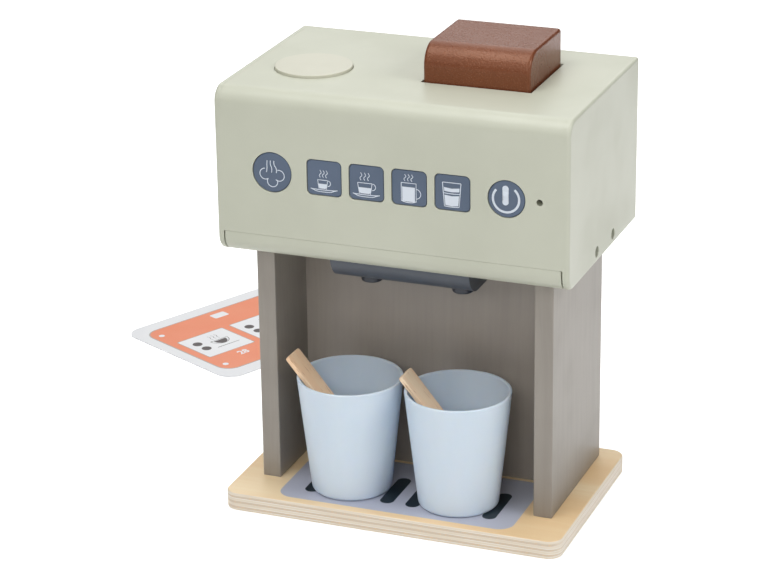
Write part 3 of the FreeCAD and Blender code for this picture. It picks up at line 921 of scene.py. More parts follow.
def lathe(profile: Sequence[Point], rounds: Sequence[tuple[Point, float]], steps: int) -> bmesh.types.BMesh:
    """Turn a closed profile round the Z axis and round some of its corners.

    Args:
        profile: Radius and height of each corner, from the axis back to the axis.
        rounds: The corners to round, each with its radius.
        steps: How many flat sides stand for the full turn.

    Returns:
        The turned solid.
    """
    shape = bmesh.new()
    verts = [shape.verts.new((radius, 0, height)) for radius, height in profile]
    edges = [shape.edges.new(pair) for pair in zip(verts, verts[1:])]
    bmesh.ops.spin(
        shape, geom=verts + edges, axis=(0, 0, 1), cent=(0, 0, 0), angle=2 * math.pi,
        steps=steps, use_merge=True,
    )
    bmesh.ops.remove_doubles(shape, verts=shape.verts, dist=0.001 * MM)
    bmesh.ops.recalc_face_normals(shape, faces=shape.faces)
    for (radius, height), size in rounds:
        ring = [
            edge
            for edge in shape.edges
            if all(abs(v.co.z - height) < 1e-6 and abs(v.co.xy.length - radius) < 1e-6 for v in edge.verts)
        ]
        round_over(shape, ring, size, segments=5)
    return shape


def placed(
    shape: bmesh.types.BMesh, centre: Sequence[float], facing: Matrix = FACING_UP
) -> bmesh.types.BMesh:
    """Turn a shape to face a way and move its origin to a point."""
    bmesh.ops.transform(shape, matrix=Matrix.Translation(Vector(centre)) @ facing, verts=shape.verts)
    return shape


def joined(shapes: Iterable[bmesh.types.BMesh]) -> bmesh.types.BMesh:
    """Gather several shapes in one mesh.

    Args:
        shapes: The shapes, which are used up.

    Returns:
        One mesh that holds them all.
    """
    whole = bmesh.new()
    for shape in shapes:
        part = bpy.data.meshes.new("part")
        shape.to_mesh(part)
        shape.free()
        whole.from_mesh(part)
        bpy.data.meshes.remove(part)
    return whole


def as_object(shape: bmesh.types.BMesh, name: str) -> bpy.types.Object:
    """Turn a mesh under construction into an object at the origin.

    Args:
        shape: The mesh, which is used up.
        name: The object's name.

    Returns:
        The object.
    """
    mesh = bpy.data.meshes.new(name)
    shape.to_mesh(mesh)
    shape.free()
    piece = bpy.data.objects.new(name, mesh)
    bpy.context.scene.collection.objects.link(piece)
    return piece


def evaluated_mesh(piece: bpy.types.Object) -> bpy.types.Mesh:
    """Give a piece's mesh with its modifiers applied, or the mesh of a curve or text."""
    depsgraph = bpy.context.evaluated_depsgraph_get()
    return bpy.data.meshes.new_from_object(piece.evaluated_get(depsgraph), depsgraph=depsgraph)


def carve(piece: bpy.types.Object, cutters: Sequence[bmesh.types.BMesh]) -> bpy.types.Object:
    """Cut shapes out of a piece.

    Args:
        piece: The piece.
        cutters: The shapes to cut away, which are used up.

    Returns:
        The same piece.
    """
    if not cutters:
        return piece
    cutter = as_object(joined(cutters), "cutter")
    cut = piece.modifiers.new("cut", "BOOLEAN")
    cut.operation = "DIFFERENCE"
    cut.solver = "EXACT"
    cut.object = cutter
    mesh = evaluated_mesh(piece)
    piece.modifiers.clear()
    mesh.name = piece.name
    piece.data = mesh
    bpy.data.objects.remove(cutter)
    return piece


def line_holes(
    piece: bpy.types.Object, axis: int, holes: Sequence[tuple[Vector, float]], lip: float = 0.2 * MM
) -> None:
    """Give the walls of holes the piece's second finish, a dark painted shade.

    Args:
        piece: The carved piece.
        axis: The axis that the holes run along.
        holes: The middle of each hole's mouth, and how far its walls reach from there.
        lip: How far the outer paint goes in.
    """
    for polygon in piece.data.polygons:
        for mouth, reach in holes:
            away = polygon.center - mouth
            depth = abs(away[axis])
            away[axis] = 0.0
            if depth > lip and away.length < reach:
                polygon.material_index = 1


def polish(piece: bpy.types.Object, sharp_angle: float = 32.0) -> None:
    """Shade a piece smoothly with crisp corners, its flat sides staying flat.

    Args:
        piece: The piece.
        sharp_angle: The angle in degrees from which an edge is crisp.
    """
    for polygon in piece.data.polygons:
        polygon.use_smooth = True
    piece.data.set_sharp_from_angle(angle=math.radians(sharp_angle))
    weighted = piece.modifiers.new("flat sides", "WEIGHTED_NORMAL")
    weighted.keep_sharp = True
    weighted.weight = 80


def settle(
    piece: bpy.types.Object, body: str, finishes: Sequence[Finish], nodes: Sequence[str] = ()
) -> bpy.types.Object:
    """Finish a piece and hand it to its body.

    Args:
        piece: The piece, in place.
        body: The body that it rides on.
        finishes: Its finishes, one for each material number of its faces.
        nodes: The construction nodes that it replaces.

    Returns:
        The same piece.
    """
    piece.data.materials.clear()
    for finish in finishes:
        piece.data.materials.append(finish.material())
    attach(piece, body)
    if nodes:
        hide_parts(*nodes)
    log.info("%s rides on %s, %d faces", piece.name, body, len(piece.data.polygons))
    return piece


def dress(name: str, finish: Finish) -> None:
    """Give a construction node its finish and leave its shape as it is.

    Args:
        name: The node.
        finish: What it is made of or painted with.
    """
    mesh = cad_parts[name].data
    mesh.materials.clear()
    mesh.materials.append(finish.material())
    log.info("%s keeps its shape", name)


class Pen:
    """Draws flat marks in millimetres on the XY plane, then lays them on a surface as one thin piece."""

    def __init__(self, film: float = 0.04) -> None:
        """Start an empty drawing whose ink stands film millimetres high."""
        self.film = film
        self.shapes: list[bmesh.types.BMesh] = []

    def stroke(
        self, points: Sequence[Point], width: float, closed: bool = False, soft: bool = True
    ) -> None:
        """Draw a line with round sides through or near points.

        Args:
            points: Where it goes, or what a soft line bends towards.
            width: Its width.
            closed: Whether it comes back to its start.
            soft: Whether it bends smoothly.
        """
        curve = bpy.data.curves.new("stroke", "CURVE")
        curve.dimensions = "3D"
        curve.bevel_depth = width / 2
        curve.bevel_resolution = 2
        curve.use_fill_caps = True
        curve.resolution_u = 6
        line = curve.splines.new("NURBS" if soft else "POLY")
        line.points.add(len(points) - 1)
        for point, (x, y) in zip(line.points, points):
            point.co = (x, y, 0.0, 1.0)
        line.use_cyclic_u = closed
        if soft:
            line.order_u = 3
            line.use_endpoint_u = not closed
        holder = bpy.data.objects.new("stroke", curve)
        bpy.context.scene.collection.objects.link(holder)
        self.take(evaluated_mesh(holder), 2 * self.film / width)
        bpy.data.objects.remove(holder)

    def digits(self, text: str, centre: Point, size: float) -> None:
        """Write plain digits.

        Args:
            text: The digits.
            centre: Their middle.
            size: Their height.
        """
        curve = bpy.data.curves.new("digits", "FONT")
        curve.body = text
        curve.size = size
        curve.align_x = "CENTER"
        curve.align_y = "CENTER"
        curve.extrude = self.film
        curve.offset = 0.03 * size
        holder = bpy.data.objects.new("digits", curve)
        bpy.context.scene.collection.objects.link(holder)
        mesh = evaluated_mesh(holder)
        mesh.transform(Matrix.Translation((centre[0], centre[1], 0.0)))
        self.take(mesh, 1.0)
        bpy.data.objects.remove(holder)

    def take(self, mesh: bpy.types.Mesh, flatten: float) -> None:
        """Take a mesh into the drawing, pressed flat.

        Args:
            mesh: The mesh, which is used up.
            flatten: What its height is multiplied by.
        """
        mesh.transform(Matrix.Diagonal((1.0, 1.0, flatten, 1.0)))
        shape = bmesh.new()
        shape.from_mesh(mesh)
        bmesh.ops.remove_doubles(shape, verts=shape.verts, dist=1e-5)
        bpy.data.meshes.remove(mesh)
        self.shapes.append(shape)

    def area(self, points: Sequence[Point]) -> None:
        """Fill an outline.

        Args:
            points: Its corners in order.
        """
        shape = bmesh.new()
        shape.faces.new([shape.verts.new((x, y, -self.film)) for x, y in points])
        self.raise_area(shape)

    def plate(self, centre: Point, half: Point, corner: float = 0.0) -> None:
        """Fill a four-sided shape with round corners.

        Args:
            centre: Its middle.
            half: Half its width and half its length.
            corner: Its corners' radius.
        """
        shape = plate_outline(half[0], half[1], corner)
        bmesh.ops.translate(shape, vec=(centre[0], centre[1], -self.film), verts=shape.verts)
        self.raise_area(shape)

    def disc(self, centre: Point, radius: float) -> None:
        """Fill a circle.

        Args:
            centre: Its middle.
            radius: Its radius.
        """
        shape = round_outline(radius, steps=24)
        bmesh.ops.translate(shape, vec=(centre[0], centre[1], -self.film), verts=shape.verts)
        self.raise_area(shape)

    def raise_area(self, shape: bmesh.types.BMesh) -> None:
        """Give a flat face the ink's thickness.

        Args:
            shape: The flat face.
        """
        pushed = bmesh.ops.extrude_face_region(shape, geom=shape.faces[:] + shape.edges[:])
        verts = [item for item in pushed["geom"] if isinstance(item, bmesh.types.BMVert)]
        bmesh.ops.translate(shape, vec=(0, 0, 2 * self.film), verts=verts)
        bmesh.ops.recalc_face_normals(shape, faces=shape.faces)
        self.shapes.append(shape)

    def lay(self, name: str, centre: Sequence[float], facing: Matrix) -> bpy.types.Object:
        """Put the whole drawing on a surface as one piece, half of its ink sunk in.

        Args:
            name: The piece's name.
            centre: Where the drawing's middle goes.
            facing: Which way it looks.

        Returns:
            The piece.
        """
        shape = joined(self.shapes)
        bmesh.ops.scale(shape, vec=(MM, MM, MM), verts=shape.verts)
        return as_object(placed(shape, centre, facing), name)


def arc(centre: Point, radius: float, start: float, end: float, steps: int = 12) -> list[Point]:
    """Points along an arc, between two angles in degrees."""
    angles = [math.radians(start + (end - start) * step / steps) for step in range(steps + 1)]
    return [(centre[0] + radius * math.cos(a), centre[1] + radius * math.sin(a)) for a in angles]


def steam(foot: Point, height: float, sway: float) -> list[Point]:
    """A wisp of steam that rises in an S from its foot.

    Args:
        foot: Where it starts.
        height: How high it rises.
        sway: How far it swings aside.

    Returns:
        The line's points.
    """
    x, y = foot
    shares = ((0, 0.0), (-1, 0.2), (-0.6, 0.42), (0.9, 0.6), (0.6, 0.8), (-0.3, 1.0))
    return [(x + sway * side, y + height * up) for side, up in shares]


def draw_steam_cloud(pen: Pen) -> None:
    """Three wisps that come down on a cloud with three lobes.

    Args:
        pen: The pen to draw with.
    """
    for top, foot in ((-3.0, -3.6), (-0.9, -0.3), (1.4, 2.8)):
        pen.stroke([(top, 7.4), (top - 0.3, 5.0), (foot + 0.5, 2.4), (foot, -0.2)], 0.52)
    pen.stroke(arc((-4.5, -1.3), 3.5, 92, 306), 0.52)
    pen.stroke(arc((0.2, -5.8), 3.4, 152, 382), 0.52)
    pen.stroke(arc((4.5, -1.7), 3.5, -128, 106), 0.52)


def draw_cup(pen: Pen, half: float, rim: float, wisps: Sequence[float], wisp_top: float) -> None:
    """A filled cup with a handle on its saucer, under rising steam.

    Args:
        pen: The pen to draw with.
        half: Half the cup's width at its rim.
        rim: The height of its rim.
        wisps: Where the wisps of steam stand.
        wisp_top: How high the steam reaches.
    """
    middle, foot = -1.0, -7.0
    fill = rim - 0.42 * (rim - foot)
    left, right = middle - half, middle + half
    foot_half = half * 0.74
    pen.stroke([(left, rim), (right, rim)], 0.45, soft=False)
    pen.stroke([(left, rim), (left + 0.3, fill), (middle - foot_half, foot)], 0.42)
    pen.stroke([(right, rim), (right - 0.3, fill), (middle + foot_half, foot)], 0.42)
    pen.area([
        (left + 0.6, fill), (middle - foot_half - 0.3, foot + 1.4), (middle - foot_half + 0.6, foot + 0.3),
        (middle + foot_half - 0.6, foot + 0.3), (middle + foot_half + 0.3, foot + 1.4), (right - 0.6, fill),
    ])
    pen.stroke(arc((right + 0.1, (rim + fill) / 2 - 0.7), (rim - foot) * 0.31, 84, -92, 10), 0.45)
    pen.stroke([(-8.8, -7.1), (-8.0, -7.4), (0.0, -7.5), (7.8, -7.3), (8.5, -7.0)], 0.5)
    saucer = [(-8.8, -7.1), (-6.6, -7.9), (-5.2, -8.6), (0.0, -8.8), (4.4, -8.6), (5.8, -7.8), (8.5, -7.0)]
    pen.stroke(saucer, 0.45)
    for x in wisps:
        pen.stroke(steam((x, rim + 1.6), wisp_top - rim - 1.6, 0.75), 0.42)


def draw_small_cup(pen: Pen) -> None:
    """A small cup."""
    draw_cup(pen, 3.2, -1.3, (-2.4, -0.4, 1.6), 4.9)


def draw_large_cup(pen: Pen) -> None:
    """A large cup."""
    draw_cup(pen, 4.6, -0.1, (-3.4, -1.0, 1.4), 6.3)


def draw_mug(pen: Pen) -> None:
    """A straight mug, nearly full, under steam.

    Args:
        pen: The pen to draw with.
    """
    pen.stroke([(-5.0, 3.0), (4.4, 3.0), (4.4, -8.4), (-5.0, -8.4), (-5.0, 3.0)], 0.5, soft=False)
    pen.stroke([(-5.0, -8.0), (-4.0, -9.2), (3.4, -9.2), (4.4, -8.0)], 0.5)
    pen.area([(-4.4, 0.5), (-4.4, -8.6), (3.6, -8.6), (3.6, 0.5)])
    pen.stroke(arc((4.2, -3.4), 3.1, 82, -82, 12), 0.45)
    for x in (-2.6, -0.4, 1.8):
        pen.stroke(steam((x, 4.2), 4.2, 0.75), 0.42)


def draw_glass(pen: Pen) -> None:
    """A tapered glass with a drink and a layer in it.

    Args:
        pen: The pen to draw with.
    """
    pen.stroke([(-6.2, 6.2), (5.4, 6.2)], 0.5, soft=False)
    pen.stroke([(-6.2, 6.2), (-5.0, -8.6)], 0.5, soft=False)
    pen.stroke([(5.4, 6.2), (4.2, -8.6)], 0.5, soft=False)
    pen.stroke([(-5.0, -8.6), (-0.4, -9.1), (4.2, -8.6)], 0.5)
    pen.area([(-5.3, 3.2), (-5.1, 0.8), (-0.4, 0.4), (4.3, 0.8), (4.5, 3.2), (-0.4, 2.6)])
    pen.stroke([(-5.4, -0.4), (-0.4, -0.9), (4.6, -0.4)], 0.5)
    pen.area([(-5.0, -1.6), (-4.4, -7.9), (-0.4, -8.4), (3.6, -7.9), (4.2, -1.6), (-0.4, -2.1)])


def draw_power(pen: Pen) -> None:
    """A thick open ring with an upright bar in its gap.

    Args:
        pen: The pen to draw with.
    """
    pen.stroke(arc((-0.3, -0.1), 8.15, 138, 410, 28), 1.45)
    pen.stroke([(-0.6, 6.3), (-0.6, -2.0)], 3.9, soft=False)
    pen.disc((-0.6, 6.3), 1.95)
    pen.disc((-0.6, -2.0), 1.95)


@dataclass
class Camera:
    """The photograph's camera, from the calibration of the object's straight edges."""

    place: Vector = field(default_factory=lambda: Vector((0.5783, -1.54384, 0.77987)))
    yaw: float = math.radians(21.391)
    pitch: float = math.radians(-21.311)
    roll: float = math.radians(-0.816)
    sensor: float = 36.0
    lens: float = 132.38

    def build(self) -> None:
        """Make the camera and give it to the scene."""
        data = bpy.data.cameras.new("view")
        data.sensor_fit = "HORIZONTAL"
        data.sensor_width = self.sensor
        data.lens = self.lens
        data.clip_start = 0.05
        camera = bpy.data.objects.new("view", data)
        forward = Vector((
            -math.sin(self.yaw) * math.cos(self.pitch),
            math.cos(self.yaw) * math.cos(self.pitch),
            math.sin(self.pitch),
        ))
        right = forward.cross(Vector((0, 0, 1))).normalized()
        up = right.cross(forward)
        turned_right = math.cos(self.roll) * right + math.sin(self.roll) * up
        turned_up = math.cos(self.roll) * up - math.sin(self.roll) * right
        rotation = Matrix((turned_right, turned_up, -forward)).transposed().to_4x4()
        camera.matrix_world = Matrix.Translation(self.place) @ rotation
        bpy.context.scene.collection.objects.link(camera)
        bpy.context.scene.camera = camera


@dataclass
class Studio:
    """The plain pale floor and the soft lamps."""

    floor_tone: Colour = (242, 242, 242)
    floor_size: float = 12.0
    floor_drop: float = 0.1 * MM
    floor_lift: float = 0.6
    lit_radius: float = 1.2
    world_strength: float = 0.1
    target: tuple[float, float, float] = (0.0, 0.0, 0.14)
    lamps: tuple[tuple[str, Sequence[float], float, float], ...] = (
        ("left_softbox", (-0.6, -1.3, 0.95), 0.9, 2.5),
        ("front_softbox", (0.3, -1.6, 1.1), 0.9, 9.1),
        ("top_front_softbox", (-0.35, -0.45, 1.5), 0.9, 9.0),
        ("top_softbox", (0.1, 0.25, 1.55), 1.1, 4.8),
        ("right_softbox", (1.4, -0.2, 1.1), 0.9, 10.6),
        ("back_softbox", (-0.4, 1.22, 1.28), 1.5, 9.0),
    )

    def build(self) -> None:
        """Make the floor, the world and the lamps."""
        self.floor()
        self.world()
        for name, place, size, power in self.lamps:
            self.lamp(name, place, size, power)

    def floor(self) -> None:
        """Lay the floor, white to the camera but for the object's soft shadow."""
        shape = bmesh.new()
        bmesh.ops.create_grid(shape, x_segments=1, y_segments=1, size=self.floor_size / 2)
        bmesh.ops.translate(shape, vec=(0, 0, -self.floor_drop), verts=shape.verts)
        ground = as_object(shape, "floor")
        material = bpy.data.materials.new("floor_white")
        material.use_nodes = True
        sheet = Sheet(material.node_tree)
        plain = sheet.add("BsdfDiffuse", {"Color": linear(self.floor_tone)})
        place = sheet.add("TexCoord").outputs["Object"]
        away = sheet.add("VectorMath", {0: place}, operation="LENGTH").outputs["Value"]
        lift = sheet.remap(away, self.lit_radius, 2 * self.lit_radius, self.floor_lift, 1.0)
        glow = sheet.add("Emission", {"Color": (1, 1, 1, 1), "Strength": lift})
        lifted = sheet.add("AddShader", {0: plain.outputs[0], 1: glow.outputs[0]})
        rays = sheet.add("LightPath")
        seen = sheet.math("MAXIMUM", rays.outputs["Is Camera Ray"], rays.outputs["Is Glossy Ray"])
        seen = sheet.math("MAXIMUM", seen, rays.outputs["Is Transmission Ray"])
        mixed = sheet.add("MixShader", {0: seen, 1: plain.outputs[0], 2: lifted.outputs[0]})
        output = sheet.add("OutputMaterial")
        sheet.feed(output.inputs["Surface"], mixed.outputs[0])
        ground.data.materials.append(material)

    def world(self) -> None:
        """Light everything softly from all round."""
        world = bpy.data.worlds.new("studio")
        world.use_nodes = True
        sheet = Sheet(world.node_tree)
        rays = sheet.add("LightPath")
        strength = sheet.math("MAXIMUM", rays.outputs["Is Camera Ray"], self.world_strength)
        around = sheet.add("Background", {"Color": (1.0, 1.0, 1.0, 1.0), "Strength": strength})
        output = sheet.add("OutputWorld")
        sheet.feed(output.inputs["Surface"], around.outputs[0])
        bpy.context.scene.world = world

    def lamp(self, name: str, place: Sequence[float], size: float, power: float) -> None:
        """Hang one square softbox that looks at the target.

        Args:
            name: The lamp's name.
            place: Where it hangs.
            size: The length of its side.
            power: Its power in watts.
        """
        data = bpy.data.lights.new(name, "AREA")
        data.shape = "SQUARE"
        data.size = size
        data.energy = power
        lamp = bpy.data.objects.new(name, data)
        aim = (Vector(self.target) - Vector(place)).to_track_quat("-Z", "Y")
        lamp.matrix_world = Matrix.Translation(Vector(place)) @ aim.to_matrix().to_4x4()
        bpy.context.scene.collection.objects.link(lamp)


@dataclass
class Stand:
    """The plywood base with its printed tray, the legs and the panel between them."""

    base_corner: float = 9 * MM
    base_edge: float = 1.1 * MM
    tray_corner: float = 10 * MM
    leg_edge: float = 0.8 * MM
    foot_edge: float = 0.35 * MM
    screw_inset: float = 20 * MM
    countersink: float = 4.3 * MM

    def build(self) -> None:
        """Build and dress the stand."""
        self.base()
        self.legs()
        dress("drip_tray_sheet", Palette.tray)
        dress("drip_tray_slots", Palette.slot_mark)
        # The back panel takes a lighter taupe than the legs: painted light.
        dress("back_panel", Palette.taupe_panel_painted_light)

    def base(self) -> None:
        """The base board, with the tray's bed and the screws' countersinks."""
        low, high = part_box("base_board")
        shape = board(low, high)
        round_over(shape, edges_along(shape, 2), self.base_corner, segments=12)
        rims = edges_in_plane(shape, 2, low.z) + edges_in_plane(shape, 2, high.z)
        round_over(shape, rims, self.base_edge, segments=4)
        piece = as_object(shape, "base_plywood")
        carve(piece, [self.tray_bed()] + [self.sink(x, y, low.z) for x, y in self.screw_places()])
        polish(piece)
        settle(piece, MACHINE, [Palette.plywood], ["base_board"])

    def tray_bed(self) -> bmesh.types.BMesh:
        """The shallow bed that the printed sheet lies in.

        Returns:
            The cutter in place.
        """
        low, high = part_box("drip_tray_sheet")
        half = ((high.x - low.x) / 2, (high.y - low.y) / 2)
        outline = plate_outline(half[0], half[1], self.tray_corner, steps=10)
        bed = stack(outline, half, [(low.z, 0.0), (high.z + MM, 0.0)])
        return placed(bed, (low + high).xy.to_3d() / 2)

    def screw_places(self) -> list[Point]:
        """Where the screws come up through the base into the legs.

        Returns:
            The X and Y of each screw.
        """
        places = []
        for leg in ("left_leg", "right_leg"):
            low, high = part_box(leg)
            for y in (low.y + self.screw_inset, high.y - self.screw_inset):
                places.append(((low.x + high.x) / 2, y))
        return places

    def sink(self, x: float, y: float, z: float) -> bmesh.types.BMesh:
        """A countersink in the underside of the base.

        Args:
            x: The screw's place across.
            y: Its place from front to back.
            z: The underside's height.

        Returns:
            The cutter in place.
        """
        radius = self.countersink
        slices = [(-MM, MM), (2 * MM, -2 * MM), (3 * MM, -2 * MM)]
        return placed(stack(round_outline(radius, steps=32), (radius, radius), slices), (x, y, z))

    def legs(self) -> None:
        """Both painted legs."""
        for node in ("left_leg", "right_leg"):
            low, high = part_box(node)
            shape = board(low, high)
            round_over(shape, edges_along(shape, 2), self.leg_edge, segments=4)
            round_over(shape, edges_in_plane(shape, 2, low.z), self.foot_edge, segments=2)
            piece = as_object(shape, node + "_board")
            polish(piece)
            settle(piece, MACHINE, [Palette.taupe], [node])


@dataclass
class Housing:
    """The box that carries the buttons, glued up from boards and painted."""

    front_radius: float = 10 * MM
    side_edge: float = 2.2 * MM
    seam: float = 0.16 * MM
    groove: float = 0.2 * MM
    upper_joint: float = 0.14 * MM
    end_joint: float = 0.6 * MM
    mouth: float = 0.15 * MM
    button_gap: float = 0.3 * MM
    pilot_radius: float = 2.0 * MM
    pilot_x: float = 94.2 * MM
    hopper_gap: float = 1.2 * MM
    hopper_corner: float = 0.6 * MM
    # How far a hole's walls may lie from its middle, as a share of its half width
    square_reach: float = 1.45
    round_reach: float = 1.2
    # The same for the holes in the top, as a length past their corners
    top_reach: float = 2 * MM
    screw_hole: float = 3.5 * MM
    screw_sunk: float = 2.4 * MM
    screw_setbacks: tuple[float, float] = (56.2 * MM, 89.3 * MM)
    rear_screw_pitch: float = 88 * MM
    rear_sink: float = 3.4 * MM
    rear_sink_depth: float = 1.7 * MM

    def build(self) -> None:
        """Build and dress every board of the housing."""
        self.bottom_board()
        self.top_board()
        self.front_panel()
        self.rear_panel()
        for side, node in ((-1, "housing_left_side"), (1, "housing_right_side")):
            self.side_panel(side, node)

    def bottom_board(self) -> None:
        """The bottom board, round along its lower front edge, with fine joints above and at its ends."""
        low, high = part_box("housing_bottom_board")
        joint = Vector((self.end_joint, 0.0, 0.0))
        low, high = low + joint, high - joint - Vector((0.0, 0.0, self.upper_joint))
        shape = board(low, high)
        round_over(shape, edges_along(shape, 0, {1: low.y, 2: low.z}), self.front_radius, BROAD_STEPS)
        round_over(shape, edges_along(shape, 0, {1: low.y, 2: high.z}), self.groove, segments=3)
        self.finish_board(shape, "bottom_board_painted", "housing_bottom_board", [])

    def top_board(self) -> None:
        """The top board, with the hopper's opening and the round button's hole."""
        low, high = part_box("housing_top_board")
        shape = board(low, high)
        round_over(shape, edges_along(shape, 0, {1: low.y, 2: high.z}), self.front_radius, BROAD_STEPS)
        ends = edges_in_plane(shape, 0, low.x) + edges_in_plane(shape, 0, high.x)
        round_over(shape, ends, self.seam, segments=2)
        cutters = [self.round_hole(low, high), self.hopper_hole(low, high)]
        holes = []
        for node in ("top_button", "hopper_block"):
            near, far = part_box(node)
            mouth = Vector(((near.x + far.x) / 2, (near.y + far.y) / 2, high.z))
            holes.append((mouth, (far - near).xy.length / 2 + self.top_reach))
        self.finish_board(shape, "top_board_painted", "housing_top_board", cutters, 2, holes)

    def round_hole(self, low: Vector, high: Vector) -> bmesh.types.BMesh:
        """The cutter for the round button on the top.

        Args:
            low: The board's lower corner.
            high: Its upper corner.

        Returns:
            The cutter in place.
        """
        near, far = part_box("top_button")
        radius = (far.x - near.x) / 2 + self.button_gap
        slices = [(low.z - MM, 0.0)] + flared_mouth(high.z, self.mouth, MM)
        hole = stack(round_outline(radius, steps=96), (radius, radius), slices)
        return placed(hole, ((near + far) / 2).xy.to_3d())

    def hopper_hole(self, low: Vector, high: Vector) -> bmesh.types.BMesh:
        """The cutter for the hopper's opening, as wide as the well below it.

        Args:
            low: The board's lower corner.
            high: Its upper corner.

        Returns:
            The cutter in place.
        """
        near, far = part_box("hopper_block")
        half = ((far.x - near.x) / 2 + self.hopper_gap, (far.y - near.y) / 2 + self.hopper_gap)
        slices = [(low.z - MM, 0.0)] + flared_mouth(high.z, self.mouth, MM)
        outline = plate_outline(half[0], half[1], self.hopper_corner, steps=3)
        return placed(stack(outline, half, slices), ((near + far) / 2).xy.to_3d())

    def front_panel(self) -> None:
        """The front panel, with its button holes and the small pilot hole."""
        low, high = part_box("housing_front_panel")
        cutters = []
        holes = []
        for button in FrontButtons.names():
            near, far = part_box(button)
            half = (far.x - near.x) / 2 + self.button_gap
            if button in FrontButtons.round_ones:
                outline = round_outline(half, steps=72)
            else:
                outline = square_outline(half, FrontButtons.corner + self.button_gap)
            centre = ((near.x + far.x) / 2, low.y, (near.z + far.z) / 2)
            slices = [(low.y - high.y - MM, 0.0)] + flared_mouth(0.0, self.mouth, MM)
            cutters.append(placed(stack(outline, (half, half), slices), centre, FACING_PLAYER))
            holes.append((Vector(centre), half * self.square_reach))
        level = sum(corner.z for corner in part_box("power_button")) / 2
        radius = self.pilot_radius
        slices = [(low.y - high.y - MM, 0.0)] + flared_mouth(0.0, self.mouth, MM)
        pilot = stack(round_outline(radius, steps=32), (radius, radius), slices)
        pilot_mouth = Vector((self.pilot_x, low.y, level))
        cutters.append(placed(pilot, pilot_mouth, FACING_PLAYER))
        holes.append((pilot_mouth, radius * self.round_reach))
        self.finish_board(board(low, high), "front_panel_painted", "housing_front_panel", cutters, 1, holes)

    def rear_panel(self) -> None:
        """The thin rear panel, countersunk for its screws."""
        low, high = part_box("housing_rear_panel")
        shape = board(low, high)
        round_over(shape, edges_in_plane(shape, 1, high.y), self.seam * 2, segments=2)
        cutters = []
        for x, z in self.rear_screw_places():
            radius = self.rear_sink
            depth = self.rear_sink_depth
            slices = [(-2 * MM, -depth), (-depth, -depth), (MM, MM)]
            sink = stack(round_outline(radius, steps=32), (radius, radius), slices)
            cutters.append(placed(sink, (x, high.y, z), FACING_BACK))
        self.finish_board(shape, "rear_panel_painted", "housing_rear_panel", cutters)

    def rear_screw_places(self) -> list[Point]:
        """Where the rear panel's screws are, in X and Z.

        Returns:
            The X and Z of each screw.
        """
        boards = ("housing_bottom_board", "housing_top_board")
        levels = [sum(corner.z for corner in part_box(node)) / 2 for node in boards]
        return [(x, z) for x in (-self.rear_screw_pitch, 0.0, self.rear_screw_pitch) for z in levels]

    def side_panel(self, side: int, node: str) -> None:
        """A side panel with the whole profile, soft outer edges and two sunk screws.

        Args:
            side: The side that it is on, -1 for left and 1 for right.
            node: The construction node that it replaces.
        """
        low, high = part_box(node)
        outer = high.x if side > 0 else low.x
        shape = board(low, high)
        front = edges_along(shape, 0, {1: low.y})
        round_over(shape, front, self.front_radius, BROAD_STEPS)
        round_over(shape, edges_in_plane(shape, 0, outer), self.side_edge, segments=6)
        facing = FACING_RIGHT if side > 0 else FACING_LEFT
        cutters = []
        holes = []
        for y, z in self.side_screw_places():
            radius = self.screw_hole
            holes.append((Vector((outer, y, z)), radius * self.round_reach))
            slices = [(-self.screw_sunk - 0.1 * MM, 0.0)] + flared_mouth(0.0, self.mouth, MM)
            hole = stack(round_outline(radius, steps=40), (radius, radius), slices)
            cutters.append(placed(hole, (outer, y, z), facing))
        name = node.replace("housing_", "") + "_panel_painted"
        self.finish_board(shape, name, node, cutters, 0, holes)

    def side_screw_places(self) -> list[Point]:
        """Where the side panels' screws are, in Y and Z."""
        low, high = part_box("housing_bottom_board")
        return [(low.y + setback, (low.z + high.z) / 2) for setback in self.screw_setbacks]

    def finish_board(
        self, shape: bmesh.types.BMesh, name: str, node: str, cutters: Sequence[bmesh.types.BMesh],
        axis: int = 0, holes: Sequence[tuple[Vector, float]] = (),
    ) -> None:
        """Cut a board's holes, paint it, darken its hole walls with painted shade and put it in its node's
        place.

        Args:
            shape: The board.
            name: The finished piece's name.
            node: The construction node that it replaces.
            cutters: What is cut out of it.
            axis: The axis that its holes run along.
            holes: The middle of each hole's mouth, and how far its walls reach.
        """
        piece = as_object(shape, name)
        carve(piece, cutters)
        # The hole walls take the dark painted shade.
        line_holes(piece, axis, holes)
        polish(piece)
        settle(piece, MACHINE, [Palette.sage, Palette.painted_shade_hole_wall], [node])


@dataclass
class FrontButtons:
    """The six caps on the front with their printed signs."""

    corner: ClassVar[float] = 3.0 * MM
    round_ones: ClassVar[tuple[str, str]] = ("steam_button", "power_button")
    edge: float = 0.7 * MM
    signs: dict[str, Callable[[Pen], None]] = field(default_factory=lambda: {
        "steam_button": draw_steam_cloud,
        "small_cup_button": draw_small_cup,
        "large_cup_button": draw_large_cup,
        "mug_button": draw_mug,
        "glass_button": draw_glass,
        "power_button": draw_power,
    })

    @staticmethod
    def names() -> list[str]:
        """The buttons' nodes, from left to right."""
        kinds = ("steam", "small_cup", "large_cup", "mug", "glass", "power")
        return [kind + "_button" for kind in kinds]

    def build(self) -> None:
        """Build every cap and its sign."""
        for name in self.names():
            low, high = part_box(name)
            half = (high.x - low.x) / 2
            if name in self.round_ones:
                outline = round_outline(half, steps=96)
            else:
                outline = square_outline(half, self.corner, steps=10)
            slices = [(low.y - high.y, 0.0)] + round_shoulder(0.0, self.edge, steps=5)
            centre = ((low.x + high.x) / 2, low.y, (low.z + high.z) / 2)
            shape = placed(stack(outline, (half, half), slices), centre, FACING_PLAYER)
            cap = as_object(shape, name + "_cap")
            polish(cap)
            settle(cap, name, [Palette.blue], [name])
            pen = Pen()
            self.signs[name](pen)
            sign = pen.lay(name.replace("_button", "_sign"), centre, FACING_PLAYER)
            settle(sign, name, [Palette.icon])


